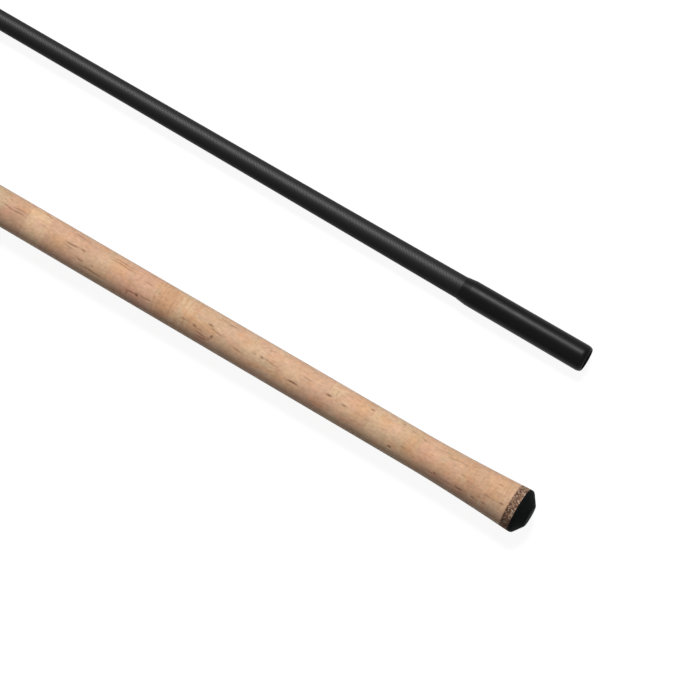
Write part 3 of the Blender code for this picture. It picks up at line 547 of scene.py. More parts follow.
cork = cork_material()
rear_ends = ring_ends(BURL_END, rear_grip_end)
rear_pores = list(SHOWN_PORES) + random_pores(BURL_END, rear_grip_end, SHOWN_END)
rear_looks = ring_looks(rear_ends, SHOWN_RINGS)
for i in range(1, 14):
    cork_block(f"rear_cork_{i:02d}", f"grip_cork_{i:02d}", rear_ends, rear_looks, grip_radius, rear_pores)


# Blanks: carbon cloth rolled on a steel former and baked, then given a thin satin clear coat.
# The butt blank runs through the whole grip; the tip blank tapers out of the female joint.
TOW_WIDTH = 0.45 * MM
# The lengthwise tows get the paler of these tones: a painted sheen that stands in for the gleam of their
# fibres under the lamp.
CARBON_DARK = (0.0006, 0.0006, 0.0007, 1)
CARBON_PAINTED_SHEEN = (0.0036, 0.0034, 0.0036, 1)
QUARTER_TURN = 0.25
BLANK_SIDES = 64
TIP_WALL = 0.8 * MM
BUTT_WALL = 1.1 * MM
TIP_END_RADIUS = 1.15 * MM
TIP_TAPER = 0.00237
TIP_SWELL = 0.92 * MM
SWELL_LENGTH = 300 * MM
rim_x = sleeve_low.x
blank_low, blank_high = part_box("tip_blank")


def weave_group():
    """A two-by-two twill of tows: how far up each point stands, and which way its tow runs."""
    group, given, put_out = new_group("twill_weave", "ShaderNodeTree", {"Vector": "Vector"},
                                      {"Height": "Float", "Lengthwise": "Float"})

    def made(operation, *values):
        return worked_out(group, operation, *values)

    u = add_node(group, "ShaderNodeSeparateXYZ", {0: given["Vector"]}, "X")
    v = u.node.outputs["Y"]
    step = made("FLOORED_MODULO", made("SUBTRACT", made("FLOOR", u), made("FLOOR", v)), 4)
    lengthwise = made("LESS_THAN", step, 1.5)
    heights = []
    for own, cross, shift in ((u, v, step), (made("MULTIPLY", v, -1), u, made("SUBTRACT", step, 2))):
        crown = made("SQRT", made("SINE", made("MULTIPLY", made("FRACT", cross), pi)))
        run = made("MULTIPLY", made("ADD", shift, made("FRACT", own)), pi / 2)
        dive = made("ADD", 0.5, made("MULTIPLY", made("SINE", run), 0.5))
        heights.append(made("MULTIPLY", crown, dive))
    along = made("MULTIPLY", lengthwise, heights[0])
    crosswise = made("MULTIPLY", made("SUBTRACT", 1, lengthwise), heights[1])
    feed(group, put_out, {"Height": made("ADD", along, crosswise), "Lengthwise": lengthwise})
    return group


def add_tow_map(piece, body, radius):
    """A UV map in tows: along the axis, and a whole number of fours around it."""
    y0, z0 = axis_of[body]
    count = 4 * max(1, round(2 * pi * radius / TOW_WIDTH / 4))
    layer = piece.data.uv_layers.new(name="tows")
    for polygon in piece.data.polygons:
        points = [piece.data.vertices[index].co for index in polygon.vertices]
        turns = [atan2(point.z - z0, point.y - y0) / (2 * pi) % 1 for point in points]
        wraps = max(turns) - min(turns) > 0.5
        for loop, point, turn in zip(polygon.loop_indices, points, turns):
            layer.data[loop].uv = point.x / TOW_WIDTH, (turn + (wraps and turn < 0.5)) * count


def drawn_along(material, strength):
    """Fibres and polishing run along the rod, so its gloss spreads around it more than along it."""
    tree = material.node_tree
    tangent = add_node(tree, "ShaderNodeTangent", {}, direction_type="UV_MAP", uv_map="tows")
    feed(tree, tree.nodes["Principled BSDF"], {"Tangent": tangent, "Anisotropic": strength,
                                               "Anisotropic Rotation": QUARTER_TURN})
    return material


def carbon_material():
    finish = Finish("woven_carbon")
    tow_map = finish.add("ShaderNodeUVMap", {}, uv_map="tows")
    weave = finish.add("ShaderNodeGroup", {"Vector": tow_map}, "Height", node_tree=weave_group())
    lengthwise = weave.node.outputs["Lengthwise"]
    # Lengthwise tows are paler: painted sheen, not a colour of the cloth.
    tows = finish.mixed(lengthwise, CARBON_DARK, CARBON_PAINTED_SHEEN)
    colour = finish.mixed(finish.grain(2500, 0.35, 0.65, 0, 0.6), tows, CARBON_DARK)
    roughness = finish.spread(lengthwise, 0, 1, 0.36, 0.3)
    return drawn_along(finish.done(colour, roughness, weave, 0.007 * MM, level=0.11), 0.95)


def tip_radius(x):
    """Outside of the tip blank: an even taper, with a swell behind the joint."""
    swell = TIP_SWELL * max(0, 1 - (x - rim_x) / SWELL_LENGTH) ** 2
    return TIP_END_RADIUS + TIP_TAPER * (blank_high.x - x) + swell


def blank(name, node, body, xs, outside, wall, tow_radius):
    """A tube of cloth, whose weave is laid out for one radius along its whole length."""
    profile = [(x, outside(x)) for x in xs]
    profile += [(x, r - wall) for x, r in reversed(profile)]
    piece = turned(name, profile, carbon, axis_of[body], sides=BLANK_SIDES)
    add_tow_map(piece, body, tow_radius)
    fit(piece, body, node)


carbon = carbon_material()
swell_end = rim_x + SWELL_LENGTH
tip_xs = [*np.linspace(blank_low.x, swell_end, 60), *np.linspace(swell_end, blank_high.x, 120)[1:]]
blank("tip_tube", "tip_blank", TIP, tip_xs, tip_radius, TIP_WALL, tip_radius(rim_x + 0.1))
butt_xs = np.linspace(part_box("butt_blank")[0].x, BUTT_SHOULDER, 120)
blank("butt_tube", "butt_blank", BUTT, butt_xs, butt_radius, BUTT_WALL, BUTT_BLANK_RADIUS)


# Female joint: extra wraps of carbon over the end of the tip blank, ground smooth, lacquered.
# Its rim is rounded over, its bore is open for the male end, and a short cone ends it.
SLEEVE_RIM_RADIUS = 6.95 * MM
SLEEVE_TOP_RADIUS = 6.7 * MM
SLEEVE_LENGTH = 71.2 * MM
SLEEVE_STEP_LENGTH = 5 * MM
SLEEVE_STEP_ROUNDING = 0.9 * MM
SLEEVE_LIP = 3 * MM
SLEEVE_EDGE = 0.15 * MM
SLEEVE_GLUE = 0.02 * MM
SOCKET_RADIUS = 5.55 * MM
SOCKET_END_RADIUS = 5.21 * MM
SOCKET_DEPTH = 57 * MM
SOCKET_CHAMFER = 0.5 * MM
LACQUER_TONES = (0.0006, 0.0006, 0.0007, 1), (0.0014, 0.0014, 0.0016, 1)

lacquer = drawn_along(mottled(
    "black_lacquer", LACQUER_TONES, dict(scale=90, low=0.35, high=0.7, detail=3),
    dict(scale=1800, stretch=(0.15, 1, 1)), (0.32, 0.38), 0.004 * MM, level=0.1), 0.45)
sleeve_end = rim_x + SLEEVE_LENGTH
socket_end = rim_x + SOCKET_DEPTH
lip_rise = SLEEVE_RIM_RADIUS - SOCKET_RADIUS - SLEEVE_EDGE
sleeve_profile = [(rim_x + SLEEVE_LIP * (1 - cos(t)), SLEEVE_RIM_RADIUS - lip_rise * (1 - sin(t)))
                  for t in np.linspace(0, pi / 2, 13)]
sleeve_profile += rounded([sleeve_profile[-1], (sleeve_end - SLEEVE_STEP_LENGTH, SLEEVE_TOP_RADIUS),
                           (sleeve_end, tip_radius(sleeve_end) + SLEEVE_EDGE)], SLEEVE_STEP_ROUNDING)[1:]
sleeve_profile += [
    (sleeve_end, tip_radius(sleeve_end) + SLEEVE_GLUE),
    (socket_end, tip_radius(socket_end) + SLEEVE_GLUE),
    (socket_end, SOCKET_END_RADIUS),
    (rim_x + SOCKET_CHAMFER, SOCKET_RADIUS),
]
joint_sleeve = turned("joint_sleeve", sleeve_profile, lacquer, axis_of[TIP])
add_tow_map(joint_sleeve, TIP, SLEEVE_RIM_RADIUS)
fit(joint_sleeve, TIP, "ferrule_sleeve")


# Male end: the bare carbon beyond a short shoulder, ground to the taper of the female joint.
# Fine rings from the grinding stay in it. A rubber plug, glued into the tube, closes it.
MALE_START = 1793 * MM
MALE_END = 1857 * MM
MALE_START_RADIUS = 5.55 * MM
MALE_END_RADIUS = 5.166 * MM
MALE_GRIND = 0.012 * MM
MALE_GRIND_STEP = 0.35 * MM
MALE_EDGE = 0.15 * MM
MALE_BEVEL = 0.2 * MM
MALE_RUN_IN = 0.5 * MM
SHOULDER_LIP = 0.1 * MM
PLUG_DEPTH = 8 * MM
PLUG_HEAD = 1.2 * MM
PLUG_GAP = 0.05 * MM
PLUG_FIT = 0.1 * MM
PLUG_INSET = 0.2 * MM
PLUG_ROUNDING = 0.8 * MM
GROUND_TONES = (0.011, 0.011, 0.012, 1), (0.023, 0.023, 0.0245, 1)


def eased(share):
    """The share with a slow start and a slow end."""
    return share * share * (3 - 2 * share)


grinding = dict(scale=3200, stretch=(1, 0.02, 0.02))
ground_carbon = mottled("ground_carbon", GROUND_TONES, grinding, grinding, (0.5, 0.62), 0.01 * MM, level=0.2)
shoulder_radius = butt_radius(BUTT_SHOULDER)
male_profile = [(BUTT_SHOULDER, shoulder_radius)]
for t in np.linspace(0, 1, 9):
    male_profile.append((BUTT_SHOULDER + SHOULDER_LIP + (MALE_START - BUTT_SHOULDER) * t,
                         shoulder_radius + (MALE_START_RADIUS - shoulder_radius) * eased(t)))
for i, x in enumerate(np.arange(MALE_START + MALE_RUN_IN, MALE_END - MALE_BEVEL, MALE_GRIND_STEP)):
    share = (x - MALE_START) / (MALE_END - MALE_START)
    radius = MALE_START_RADIUS + (MALE_END_RADIUS - MALE_START_RADIUS) * share
    male_profile.append((x, radius - MALE_GRIND * (i % 2)))
male_profile += [
    (MALE_END - MALE_BEVEL, MALE_END_RADIUS),
    (MALE_END, MALE_END_RADIUS - MALE_EDGE),
    (MALE_END, MALE_END_RADIUS - BUTT_WALL),
    (BUTT_SHOULDER, shoulder_radius - BUTT_WALL),
]
fit(turned("male_end", male_profile, ground_carbon), BUTT, "butt_blank")

plug_bore = MALE_END_RADIUS - BUTT_WALL - PLUG_FIT
plug_rim = MALE_END_RADIUS - PLUG_INSET
plug_start, plug_front, plug_end = MALE_END - PLUG_DEPTH, MALE_END + PLUG_GAP, MALE_END + PLUG_HEAD
plug_profile = [(plug_start, 0), (plug_start, plug_bore), (plug_front, plug_bore)]
plug_profile += rounded([(plug_front, plug_rim), (plug_end, plug_rim), (plug_end, 0)], PLUG_ROUNDING, 8)
fit(turned("male_end_stopper", plug_profile, rubber, closed=False), BUTT, "male_end_plug")


# Trim rings: three collars turned from aluminium and anodised black. They hide the glue
# lines between grip, reel seat and blank, and each has two fine grooves cut round it.
ALLOY_TONES = (0.055, 0.056, 0.06, 1), (0.1, 0.102, 0.108, 1)
GROOVE_DEPTH = 0.18 * MM
GROOVE_WIDTH = 0.22 * MM
COLLAR_STEPS = 48


def grooved(x0, r0, x1, r1, crown, grooves):
    """The outside of a collar from one end to the other: a crown with rounded ends and cut grooves."""
    points = []
    for t in (i / COLLAR_STEPS for i in range(COLLAR_STEPS + 1)):
        edge = r0 + (r1 - r0) * t
        bulge = (crown - edge) * (1 - abs(2 * t - 1) ** 3)
        cut = max(exp(-((t - groove) * (x1 - x0) / GROOVE_WIDTH) ** 4) for groove in grooves)
        points.append((x0 + (x1 - x0) * t, edge + bulge - GROOVE_DEPTH * cut))
    return points


alloy = mottled("black_anodised", ALLOY_TONES, dict(scale=240, detail=3),
                dict(scale=5200, stretch=(1, 0.03, 0.03)), (0.26, 0.36), 0.006 * MM, metallic=1)
for name, node, rear_radius, front_radius, crown, grooves in (
    ("rear_collar", "rear_trim_ring", 8.65 * MM, 10.9 * MM, 10.95 * MM, (0.45, 0.72)),
    ("front_collar", "front_trim_ring", 9.75 * MM, 11.15 * MM, 11.2 * MM, (0.4, 0.7)),
    ("winding_collar", "winding_check", 8.85 * MM, 7.25 * MM, 8.9 * MM, (0.25, 0.45)),
):
    low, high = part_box(node)
    bore = butt_radius(low.x) + GLUE_LINE
    collar_profile = grooved(low.x, rear_radius, high.x, front_radius, crown, grooves)
    collar_profile += [(high.x, bore), (low.x, bore)]
    fit(turned(name, collar_profile, alloy), BUTT, node)


# Reel seat barrel: a moulded tube of graphite-filled nylon, glued over two foam arbors.
# A ribbed flat along it beds the reel's foot, and a coarse round thread carries the nuts.
BARREL_BORE = 7.7026 * MM
BARREL_BED = 8.5026 * MM
BARREL_LAND = 8.6026 * MM
BARREL_RADIUS = 9.7526 * MM
BARREL_EDGE = 0.4 * MM
BARREL_STEP = 0.4 * MM
BARREL_SIDES = 144
FLAT_START = 519.7 * MM
LAND_START = 536 * MM
LAND_END = 587.4 * MM
THREAD_START = 589.5 * MM
THREAD_END = 633.2 * MM
THREAD_PITCH = 2 * MM
THREAD_DEPTH = 0.42 * MM
THREAD_RADIUS = 0.55 * MM
THREAD_INSET = 0.5 * MM
THREAD_SINK = 0.5 * MM
THREAD_FADE = 0.12 * MM
BED_RIB_PITCH = 2.4 * MM
BED_RIB_DEPTH = 0.14 * MM
BED_RIB_INSET = 3 * MM
NYLON_TONES = (0.006, 0.006, 0.0068, 1), (0.013, 0.013, 0.0142, 1)
FOAM_TONES = (0.06, 0.06, 0.062, 1), (0.12, 0.12, 0.124, 1)

lean_of = {}
for body, ring in ((BUTT, "butt_guide_ring"), (TIP, "guide_40_ring")):
    middle = sum(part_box(ring), Vector()) / 2
    lean_of[body] = atan2(middle.z - axis_of[body][1], middle.y - axis_of[body][0])


def stood(body, x, side, up):
    """A point square to a section's axis, from its reach sideways and towards the guides."""
    (y, z), c, s = axis_of[body], cos(lean_of[body]), sin(lean_of[body])
    return Vector((x, y + up * c - side * s, z + up * s + side * c))


def with_flat(radius, flat, angle):
    """Reach of a round bar with a flat on its crown, whose two corners are softened."""
    if not flat or cos(angle) <= 0.2:
        return radius
    return (radius ** -80 + (flat / cos(angle)) ** -80) ** (-1 / 80)


bloom = dict(scale=260, low=0.4, high=0.72, detail=4)
spark = dict(scale=3000, low=0.35, high=0.65)
nylon = mottled("graphite_nylon", NYLON_TONES, bloom, spark, (0.4, 0.54), 0.02 * MM,
                relief=dict(scale=3000), level=0.2)
cells = dict(scale=1500, detail=3)
foam = mottled("arbor_foam", FOAM_TONES, cells, cells, (0.82, 0.96), 0.1 * MM)
for node in ("rear_arbor", "front_arbor"):
    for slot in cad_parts[node].material_slots:
        slot.material = foam

barrel_start, barrel_end = (corner.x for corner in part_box("reel_seat_barrel"))
around = 2 * np.pi * np.arange(BARREL_SIDES) / BARREL_SIDES
barrel_profile = []
for x in np.arange(barrel_start, barrel_end + BARREL_STEP / 2, BARREL_STEP):
    x = min(x, barrel_end)
    outer = BARREL_RADIUS - max(0, BARREL_EDGE - min(x - barrel_start, barrel_end - x))
    if THREAD_START < x < THREAD_END:
        outer -= THREAD_DEPTH
    flat = 0 if x < FLAT_START else BARREL_BED
    if LAND_START < x < LAND_END:
        flat = BARREL_LAND
        if LAND_START + BED_RIB_INSET < x < LAND_END - BED_RIB_INSET:
            flat -= BED_RIB_DEPTH * max(0, cos(2 * pi * (x - LAND_START) / BED_RIB_PITCH))
    barrel_profile.append((x, np.array([with_flat(outer, flat, angle) for angle in around])))
barrel_profile += [(barrel_end, BARREL_BORE), (barrel_start, BARREL_BORE)]
barrel = turned("seat_barrel", barrel_profile, nylon, sides=BARREL_SIDES, start=lean_of[BUTT])


def new_tree(name, **sizes):
    """A Geometry Nodes tree that takes geometry, its sizes and a material."""
    return new_group(name, "GeometryNodeTree", {"Geometry": "Geometry", **sizes, "Material": "Material"},
                     {"Geometry": "Geometry"})


def painted(tree, given, put_out, geometry):
    """The tree, which ends with its instances made real, in the material that it was given."""
    real = add_node(tree, "GeometryNodeRealizeInstances", {"Geometry": geometry})
    paint = add_node(tree, "GeometryNodeSetMaterial", {"Geometry": real, "Material": given["Material"]})
    feed(tree, put_out, {"Geometry": paint})
    return tree


def settled(maker):
    """A plain object with the mesh that another one's modifiers make, in that one's stead."""
    depsgraph = bpy.context.evaluated_depsgraph_get()
    mesh = bpy.data.meshes.new_from_object(maker.evaluated_get(depsgraph), depsgraph=depsgraph)
    mesh.name = name = maker.name
    mesh.shade_smooth()
    bpy.data.objects.remove(maker)
    return placed(name, mesh)


def grown(name, tree, source, **values):
    """A plain object with the mesh that a tree makes from a mesh or a curve."""
    maker = placed(name, source)
    modifier = maker.modifiers.new("tree", "NODES")
    modifier.node_group = tree
    for item in tree.interface.items_tree:
        if item.in_out == "INPUT" and item.name in values:
            modifier[item.identifier] = values[item.name]
    return settled(maker)


def winding_tree():
    """A round cord laid along a curve, with closed ends."""
    tree, given, put_out = new_tree("winding", Radius="Float", Sides="Int")
    circle = add_node(tree, "GeometryNodeCurvePrimitiveCircle",
                      {"Resolution": given["Sides"], "Radius": given["Radius"]})
    cord = add_node(tree, "GeometryNodeCurveToMesh",
                    {"Curve": given["Geometry"], "Profile Curve": circle, "Fill Caps": True})
    return painted(tree, given, put_out, cord)


winding = winding_tree()


def wound(name, start, end, pitch, reach, radius, material, body, steps, sides):
    """A cord wound round a section from start to end, at the reach that its place and angle give."""
    count = int(abs(end - start) / pitch * steps)
    line = bpy.data.curves.new(name, "CURVE")
    line.dimensions = "3D"
    spline = line.splines.new("POLY")
    spline.points.add(count - 1)
    for i, point in enumerate(spline.points):
        angle = 2 * pi * i / steps
        x = start + (end - start) * i / (count - 1)
        r = reach(x, (angle + pi) % (2 * pi) - pi)
        point.co = (*stood(body, x, r * sin(angle), r * cos(angle)), 1)
    return grown(name, winding, line, Radius=radius, Sides=sides, Material=material)


def joined(name, *pieces):
    """One piece from several of the same material."""
    bm = bmesh.new()
    for piece in pieces:
        bm.from_mesh(piece.data)
    for face in bm.faces:
        face.material_index = 0
    whole = mesh_object(name, bm, pieces[0].data.materials[0])
    for piece in pieces:
        bpy.data.objects.remove(piece)
    return whole


def ramp(value, start, end):
    """0 before the start, 1 past the end, and even between them."""
    return min(1, max(0, (value - start) / (end - start)))


def thread_reach(x, turn):
    """The thread's ridge stands on the round of the barrel and sinks under its flat."""
    reach = with_flat(BARREL_RADIUS, BARREL_BED, turn)
    return reach - THREAD_RADIUS - THREAD_SINK * ramp(BARREL_RADIUS - reach, 0, THREAD_FADE)


thread = wound("seat_thread", THREAD_START + THREAD_INSET, THREAD_END - THREAD_INSET, THREAD_PITCH,
               thread_reach, THREAD_RADIUS, nylon, BUTT, steps=60, sides=10)
fit(joined("threaded_barrel", barrel, thread), BUTT, "reel_seat_barrel")


# Hoods: two nylon mouldings that clasp the ends of the reel's foot. The rear one is glued
# to the barrel; the front one slides, keyed by the flat, and the hood nut drives it.
HOOD_RADIUS = 11.4026 * MM
HOOD_WALL = 1.35 * MM
HOOD_EDGE = 0.6 * MM
HOOD_FIRST_ROW = 0.9 * MM
HOOD_ROW = 0.35 * MM
HOOD_SIDES = 160
HOOD_GROOVES = 1.9 * MM, 2.8 * MM
HOOD_GROOVE_DEPTH = 0.2 * MM
HOOD_GROOVE_WIDTH = 0.22 * MM
CROWN_START = HOOD_RADIUS * 0.9
CROWN_RISE = 2.6 * MM, 10.6 * MM
MOUTH_BAND = 3.2 * MM
MOUTH_BAND_HEIGHT = 0.22 * MM
MOUTH_BAND_EDGE = 0.1 * MM
MOUTH_EDGE = 0.7 * MM
MOUTH_SWEEP = 5 * MM
POCKET_DEPTH = 16 * MM
POCKET_WIDTH = 13 * MM
POCKET_ROOF = 14.9026 * MM
POCKET_SLOPE = 0.8 * MM
POCKET_LIP = 0.9 * MM
POCKET_CORNER = 0.8 * MM
KEY_BEVEL_LENGTH = 0.5 * MM
KEY_BEVEL_HEIGHT = 0.3 * MM
# How many of the hood's columns its corners are eased over
OUTSIDE_EASE = 3
INSIDE_EASE = 1.6
SLIDING_GAP = 0.3 * MM


def drawn_over(radius, half_width, top, turn):
    """Reach of the tightest outline round a circle and a flat bar on its crown."""
    corner_reach = hypot(half_width, top)
    if not top or corner_reach <= radius:
        return radius
    corner = atan2(half_width, top)
    span = acos(radius / corner_reach)
    turn = abs(turn)
    if turn <= corner:
        return top / cos(turn)
    return radius / cos(corner + span - turn) if turn < corner + span else radius


def softened(values, columns):
    """A closed row of reaches with its corners eased over a number of columns."""
    span = int(3 * columns)
    weights = np.exp(-0.5 * (np.arange(-span, span + 1) / columns) ** 2)
    wide = np.concatenate([values[-span:], values, values[:span]])
    return np.convolve(wide, weights / weights.sum(), "valid")


def hood(name, node, body, collar_end, mouth, bore, bore_flat):
    """A hood from the end of its collar to its mouth, whose crown rises over an open pocket."""
    way = 1 if mouth > collar_end else -1
    length = abs(mouth - collar_end)
    turns = (np.arange(HOOD_SIDES) * 2 * np.pi / HOOD_SIDES + np.pi) % (2 * np.pi) - np.pi
    sweep = MOUTH_SWEEP * np.clip((np.abs(turns) - 1.25) / 1.1, 0, 1) ** 2
    half_width = (POCKET_WIDTH + HOOD_WALL) / 2
    profile = []

    def add_loop(along, reaches):
        pull = sweep * max(0, along / length - 0.45) / 0.55
        profile.append((collar_end + way * (along - pull), reaches))

    def outline(radius, half_width, top, columns):
        return softened(np.array([drawn_over(radius, half_width, top, turn) for turn in turns]), columns)

    def roof(along):
        return POCKET_ROOF - POCKET_SLOPE * (length - along) / POCKET_DEPTH

    for a in np.linspace(0, pi / 2, 5):
        add_loop(HOOD_EDGE * (1 - cos(a)), HOOD_RADIUS - HOOD_EDGE * (1 - sin(a)))
    for along in np.arange(HOOD_FIRST_ROW, length - MOUTH_EDGE, HOOD_ROW):
        rise = eased(ramp(along, *CROWN_RISE))
        top = CROWN_START + (roof(along) + HOOD_WALL - CROWN_START) * rise
        groove = sum(exp(-((along - at) / HOOD_GROOVE_WIDTH) ** 4) for at in HOOD_GROOVES)
        band = 1 / (1 + exp((length - MOUTH_BAND - along) / MOUTH_BAND_EDGE))
        add_loop(along, outline(HOOD_RADIUS, half_width * (0.55 + 0.45 * rise), top, OUTSIDE_EASE)
                 - HOOD_GROOVE_DEPTH * groove + MOUTH_BAND_HEIGHT * (band - 1))
    outside = outline(HOOD_RADIUS, half_width, POCKET_ROOF + HOOD_WALL, OUTSIDE_EASE)
    inside = outline(bore, POCKET_WIDTH / 2, POCKET_ROOF, INSIDE_EASE)
    for a in np.linspace(0, pi, 9)[1:]:
        lip = outside + (inside - outside) * (0.5 - 0.5 * cos(a))
        add_loop(length - MOUTH_EDGE * (1 - sin(a)), lip)
    back = length - POCKET_DEPTH
    for along in np.linspace(length - POCKET_LIP, back + POCKET_CORNER, 8):
        add_loop(along, outline(bore, POCKET_WIDTH / 2, roof(along), INSIDE_EASE))
    add_loop(back, outline(bore, POCKET_WIDTH / 2 - POCKET_CORNER, roof(back) - POCKET_CORNER, INSIDE_EASE))
    keyed = np.array([with_flat(bore, bore_flat, turn) for turn in turns])
    add_loop(back, keyed)
    add_loop(KEY_BEVEL_LENGTH, keyed)
    add_loop(0, keyed + KEY_BEVEL_HEIGHT)
    fit(turned(name, profile, nylon, sides=HOOD_SIDES, start=lean_of[BUTT]), body, node)


fixed_low, fixed_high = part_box("fixed_hood")
hood("rear_hood", "fixed_hood", BUTT, fixed_low.x, fixed_high.x, BARREL_RADIUS + GLUE_LINE, 0)
moving_low, moving_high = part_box("moving_hood")
hood("sliding_hood", "moving_hood", "moving_hood", moving_high.x, moving_low.x, BARREL_RADIUS + SLIDING_GAP,
     BARREL_BED + SLIDING_GAP)


# Nuts: two aluminium rings, turned, ribbed for the fingers and anodised black. The longer
# one pushes the sliding hood, and the shorter one is run up to it as a lock.
NUT_BORE = BARREL_RADIUS + SLIDING_GAP
NUT_RADIUS = 11.5026 * MM
NUT_RIM = NUT_RADIUS - 0.25 * MM
NUT_BEVEL = 0.35 * MM
NUT_BORE_BEVEL = 0.25 * MM
NUT_FLANGE = 1.3 * MM
NUT_STEP_END = 1.6 * MM
NUT_STEP = 0.5 * MM
RIB_RADIUS = 0.62 * MM
RIB_INSET = 1.5 * MM
RIB_COUNT = 30


def ribs_tree():
    """Round-ended ribs along X, set in a circle about it."""
    tree, given, put_out = new_tree("finger_ribs", Count="Int", Radius="Float", Length="Float",
                                    Circle="Float", Centre="Vector")
    ball = add_node(tree, "GeometryNodeMeshUVSphere", {"Segments": 10, "Rings": 8, "Radius": given["Radius"]})
    position = add_node(tree, "GeometryNodeInputPosition", {})
    end = worked_out(tree, "SIGN", add_node(tree, "ShaderNodeSeparateXYZ", {0: position}, "Z"))
    pull = worked_out(tree, "MULTIPLY", end, given["Length"])
    rib = add_node(tree, "GeometryNodeSetPosition",
                   {"Geometry": ball, "Offset": add_node(tree, "ShaderNodeCombineXYZ", {"Z": pull})})
    circle = add_node(tree, "GeometryNodeMeshCircle", {"Vertices": given["Count"], "Radius": given["Circle"]})
    ring = add_node(tree, "GeometryNodeInstanceOnPoints", {"Points": circle, "Instance": rib})
    laid = add_node(tree, "GeometryNodeTransform", {"Geometry": ring, "Rotation": (0, pi / 2, 0),
                                                    "Translation": given["Centre"]})
    return painted(tree, given, put_out, laid)


ribs = ribs_tree()
for name, node in (("ribbed_hood_nut", "hood_nut"), ("ribbed_lock_nut", "lock_nut")):
    low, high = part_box(node)
    side = [(0, NUT_BORE + NUT_BORE_BEVEL), (0, NUT_RIM - NUT_BEVEL), (NUT_BEVEL, NUT_RIM),
            (NUT_FLANGE, NUT_RIM), (NUT_STEP_END, NUT_RIM - NUT_STEP)]
    nut_profile = [(low.x + x, r) for x, r in side] + [(high.x - x, r) for x, r in reversed(side)]
    nut_profile += [(high.x - NUT_BORE_BEVEL, NUT_BORE), (low.x + NUT_BORE_BEVEL, NUT_BORE)]
    ring = turned(name + "_ring", nut_profile, alloy)
    rib_set = grown(name + "_ribs", ribs, bpy.data.meshes.new(name + "_source"), Material=alloy,
                    Count=RIB_COUNT, Radius=RIB_RADIUS, Circle=NUT_RADIUS - RIB_RADIUS,
                    Length=(high.x - low.x) / 2 - RIB_INSET - RIB_RADIUS,
                    Centre=((low.x + high.x) / 2, 0.0, 0.0))
    fit(joined(name, ring, rib_set), node, node)


# Foregrip: six natural cork rings ahead of the reel seat, glued up like those of the rear
# grip and turned to a hollow taper, down to the blank.
FORE_REAR_RADIUS = 11.2 * MM
FORE_FRONT_RADIUS = 8.9 * MM
fore_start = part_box("foregrip_cork_01")[0].x
fore_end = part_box("foregrip_cork_02")[1].x


def fore_radius(x):
    """Outside of the foregrip, which is hollow along its length."""
    hollow = 1 - (1 - ramp(x, fore_start, fore_end)) ** 2
    return FORE_REAR_RADIUS + (FORE_FRONT_RADIUS - FORE_REAR_RADIUS) * hollow


fore_ends = ring_ends(fore_start, fore_end)
fore_looks = ring_looks(fore_ends)
fore_pores = random_pores(fore_start, fore_end, 0)
for i in (1, 2):
    cork_block(f"fore_cork_{i:02d}", f"foregrip_cork_{i:02d}", fore_ends, fore_looks, fore_radius, fore_pores)


# Guides: frames stamped and welded from steel strip, plated dark, each with a polished
# ceramic ring. Their feet are ground thin at the toes, so that thread can climb onto them.
BAND_WALL = 1.1 * MM
BAND_WIDTH = 2.4 * MM
BAND_LAP = 0.25 * MM
FOOT_THICKNESS = 0.9 * MM
TOE_THICKNESS = 0.3 * MM
TOE_RAMP = 4 * MM
TOE_NARROWING = 0.45
FOOT_GAP = 0.1 * MM
STRUT_ROOT = 2.2 * MM
STRUT_GAP = 0.25
STRUT_CROWN_WIDTH = 2.1 * MM
STRUT_THICKNESS = 1.1 * MM
STRUT_ANGLE = radians(37.5)
WELD_GRAIN = 0.2 * MM
FINE_WELD_GRAIN = 0.15 * MM
SMALL_HOLDER = 12 * MM
CERAMIC_WALL = 1.9 * MM
CERAMIC_WIDTH = 3.2 * MM
CERAMIC_GAP = 0.2 * MM
# Each guide in millimetres: its body, place along the section, outer radius of its holder, height of
# the holder above the feet, half the gap between its feet, the feet's length and width, and their number
GUIDES = {
    "butt_guide": (BUTT, 1180, 25, 14, 17, 14, 4.4, 2),
    "guide_40": (TIP, 470, 20, 12.5, 14.5, 12.5, 4, 2),
    "guide_30": (TIP, 900, 15, 9.5, 11.5, 11.5, 3.6, 2),
    "guide_20": (TIP, 1240, 10, 7, 8.5, 10.5, 3, 1),
    "guide_16": (TIP, 1560, 8, 5.5, 7, 9.5, 2.6, 1),
}
STEEL_TONES = (0.09, 0.09, 0.096, 1), (0.15, 0.15, 0.158, 1)
CERAMIC_TONES = (0.012, 0.012, 0.0135, 1), (0.023, 0.023, 0.025, 1)
THREAD_TONES = (0.006, 0.006, 0.0068, 1), (0.014, 0.014, 0.0155, 1)
CORD_RADIUS = 0.14 * MM
CORD_RISE = 0.72 * CORD_RADIUS
CORD_INSET = 0.8 * MM
VARNISH_BUILD = 1.45 * CORD_RADIUS
VARNISH_FILM = 0.03 * MM
WHIPPING_RUN = 6 * MM
WHIPPING_CLIMB = 2 * MM
WHIPPING_GAP = 0.35 * MM
WHIPPING_LIFT = 0.02 * MM
WHIPPING_FIT = 0.01 * MM
WHIPPING_EDGE = 0.9 * MM
WHIPPING_ROW = 0.3 * MM
WHIPPING_SIDES = 72

steel = mottled("plated_steel", STEEL_TONES, dict(scale=150, detail=3),
                dict(scale=2400, stretch=(0.2, 1, 1)), (0.2, 0.3), 0.005 * MM, metallic=1)
cloud = dict(scale=420, detail=3)
ceramic = mottled("polished_ceramic", CERAMIC_TONES, cloud, cloud, (0.08, 0.14), 0.003 * MM)
lay = dict(scale=1600, stretch=(1, 0.3, 0.3))
varnished = mottled("varnished_thread", THREAD_TONES, lay, lay, (0.14, 0.22), 0.008 * MM, level=0.4)


def squared(value, power):
    """A cosine or sine drawn out towards the corners of a square, where the power is below 1."""
    return copysign(abs(value) ** power, value)


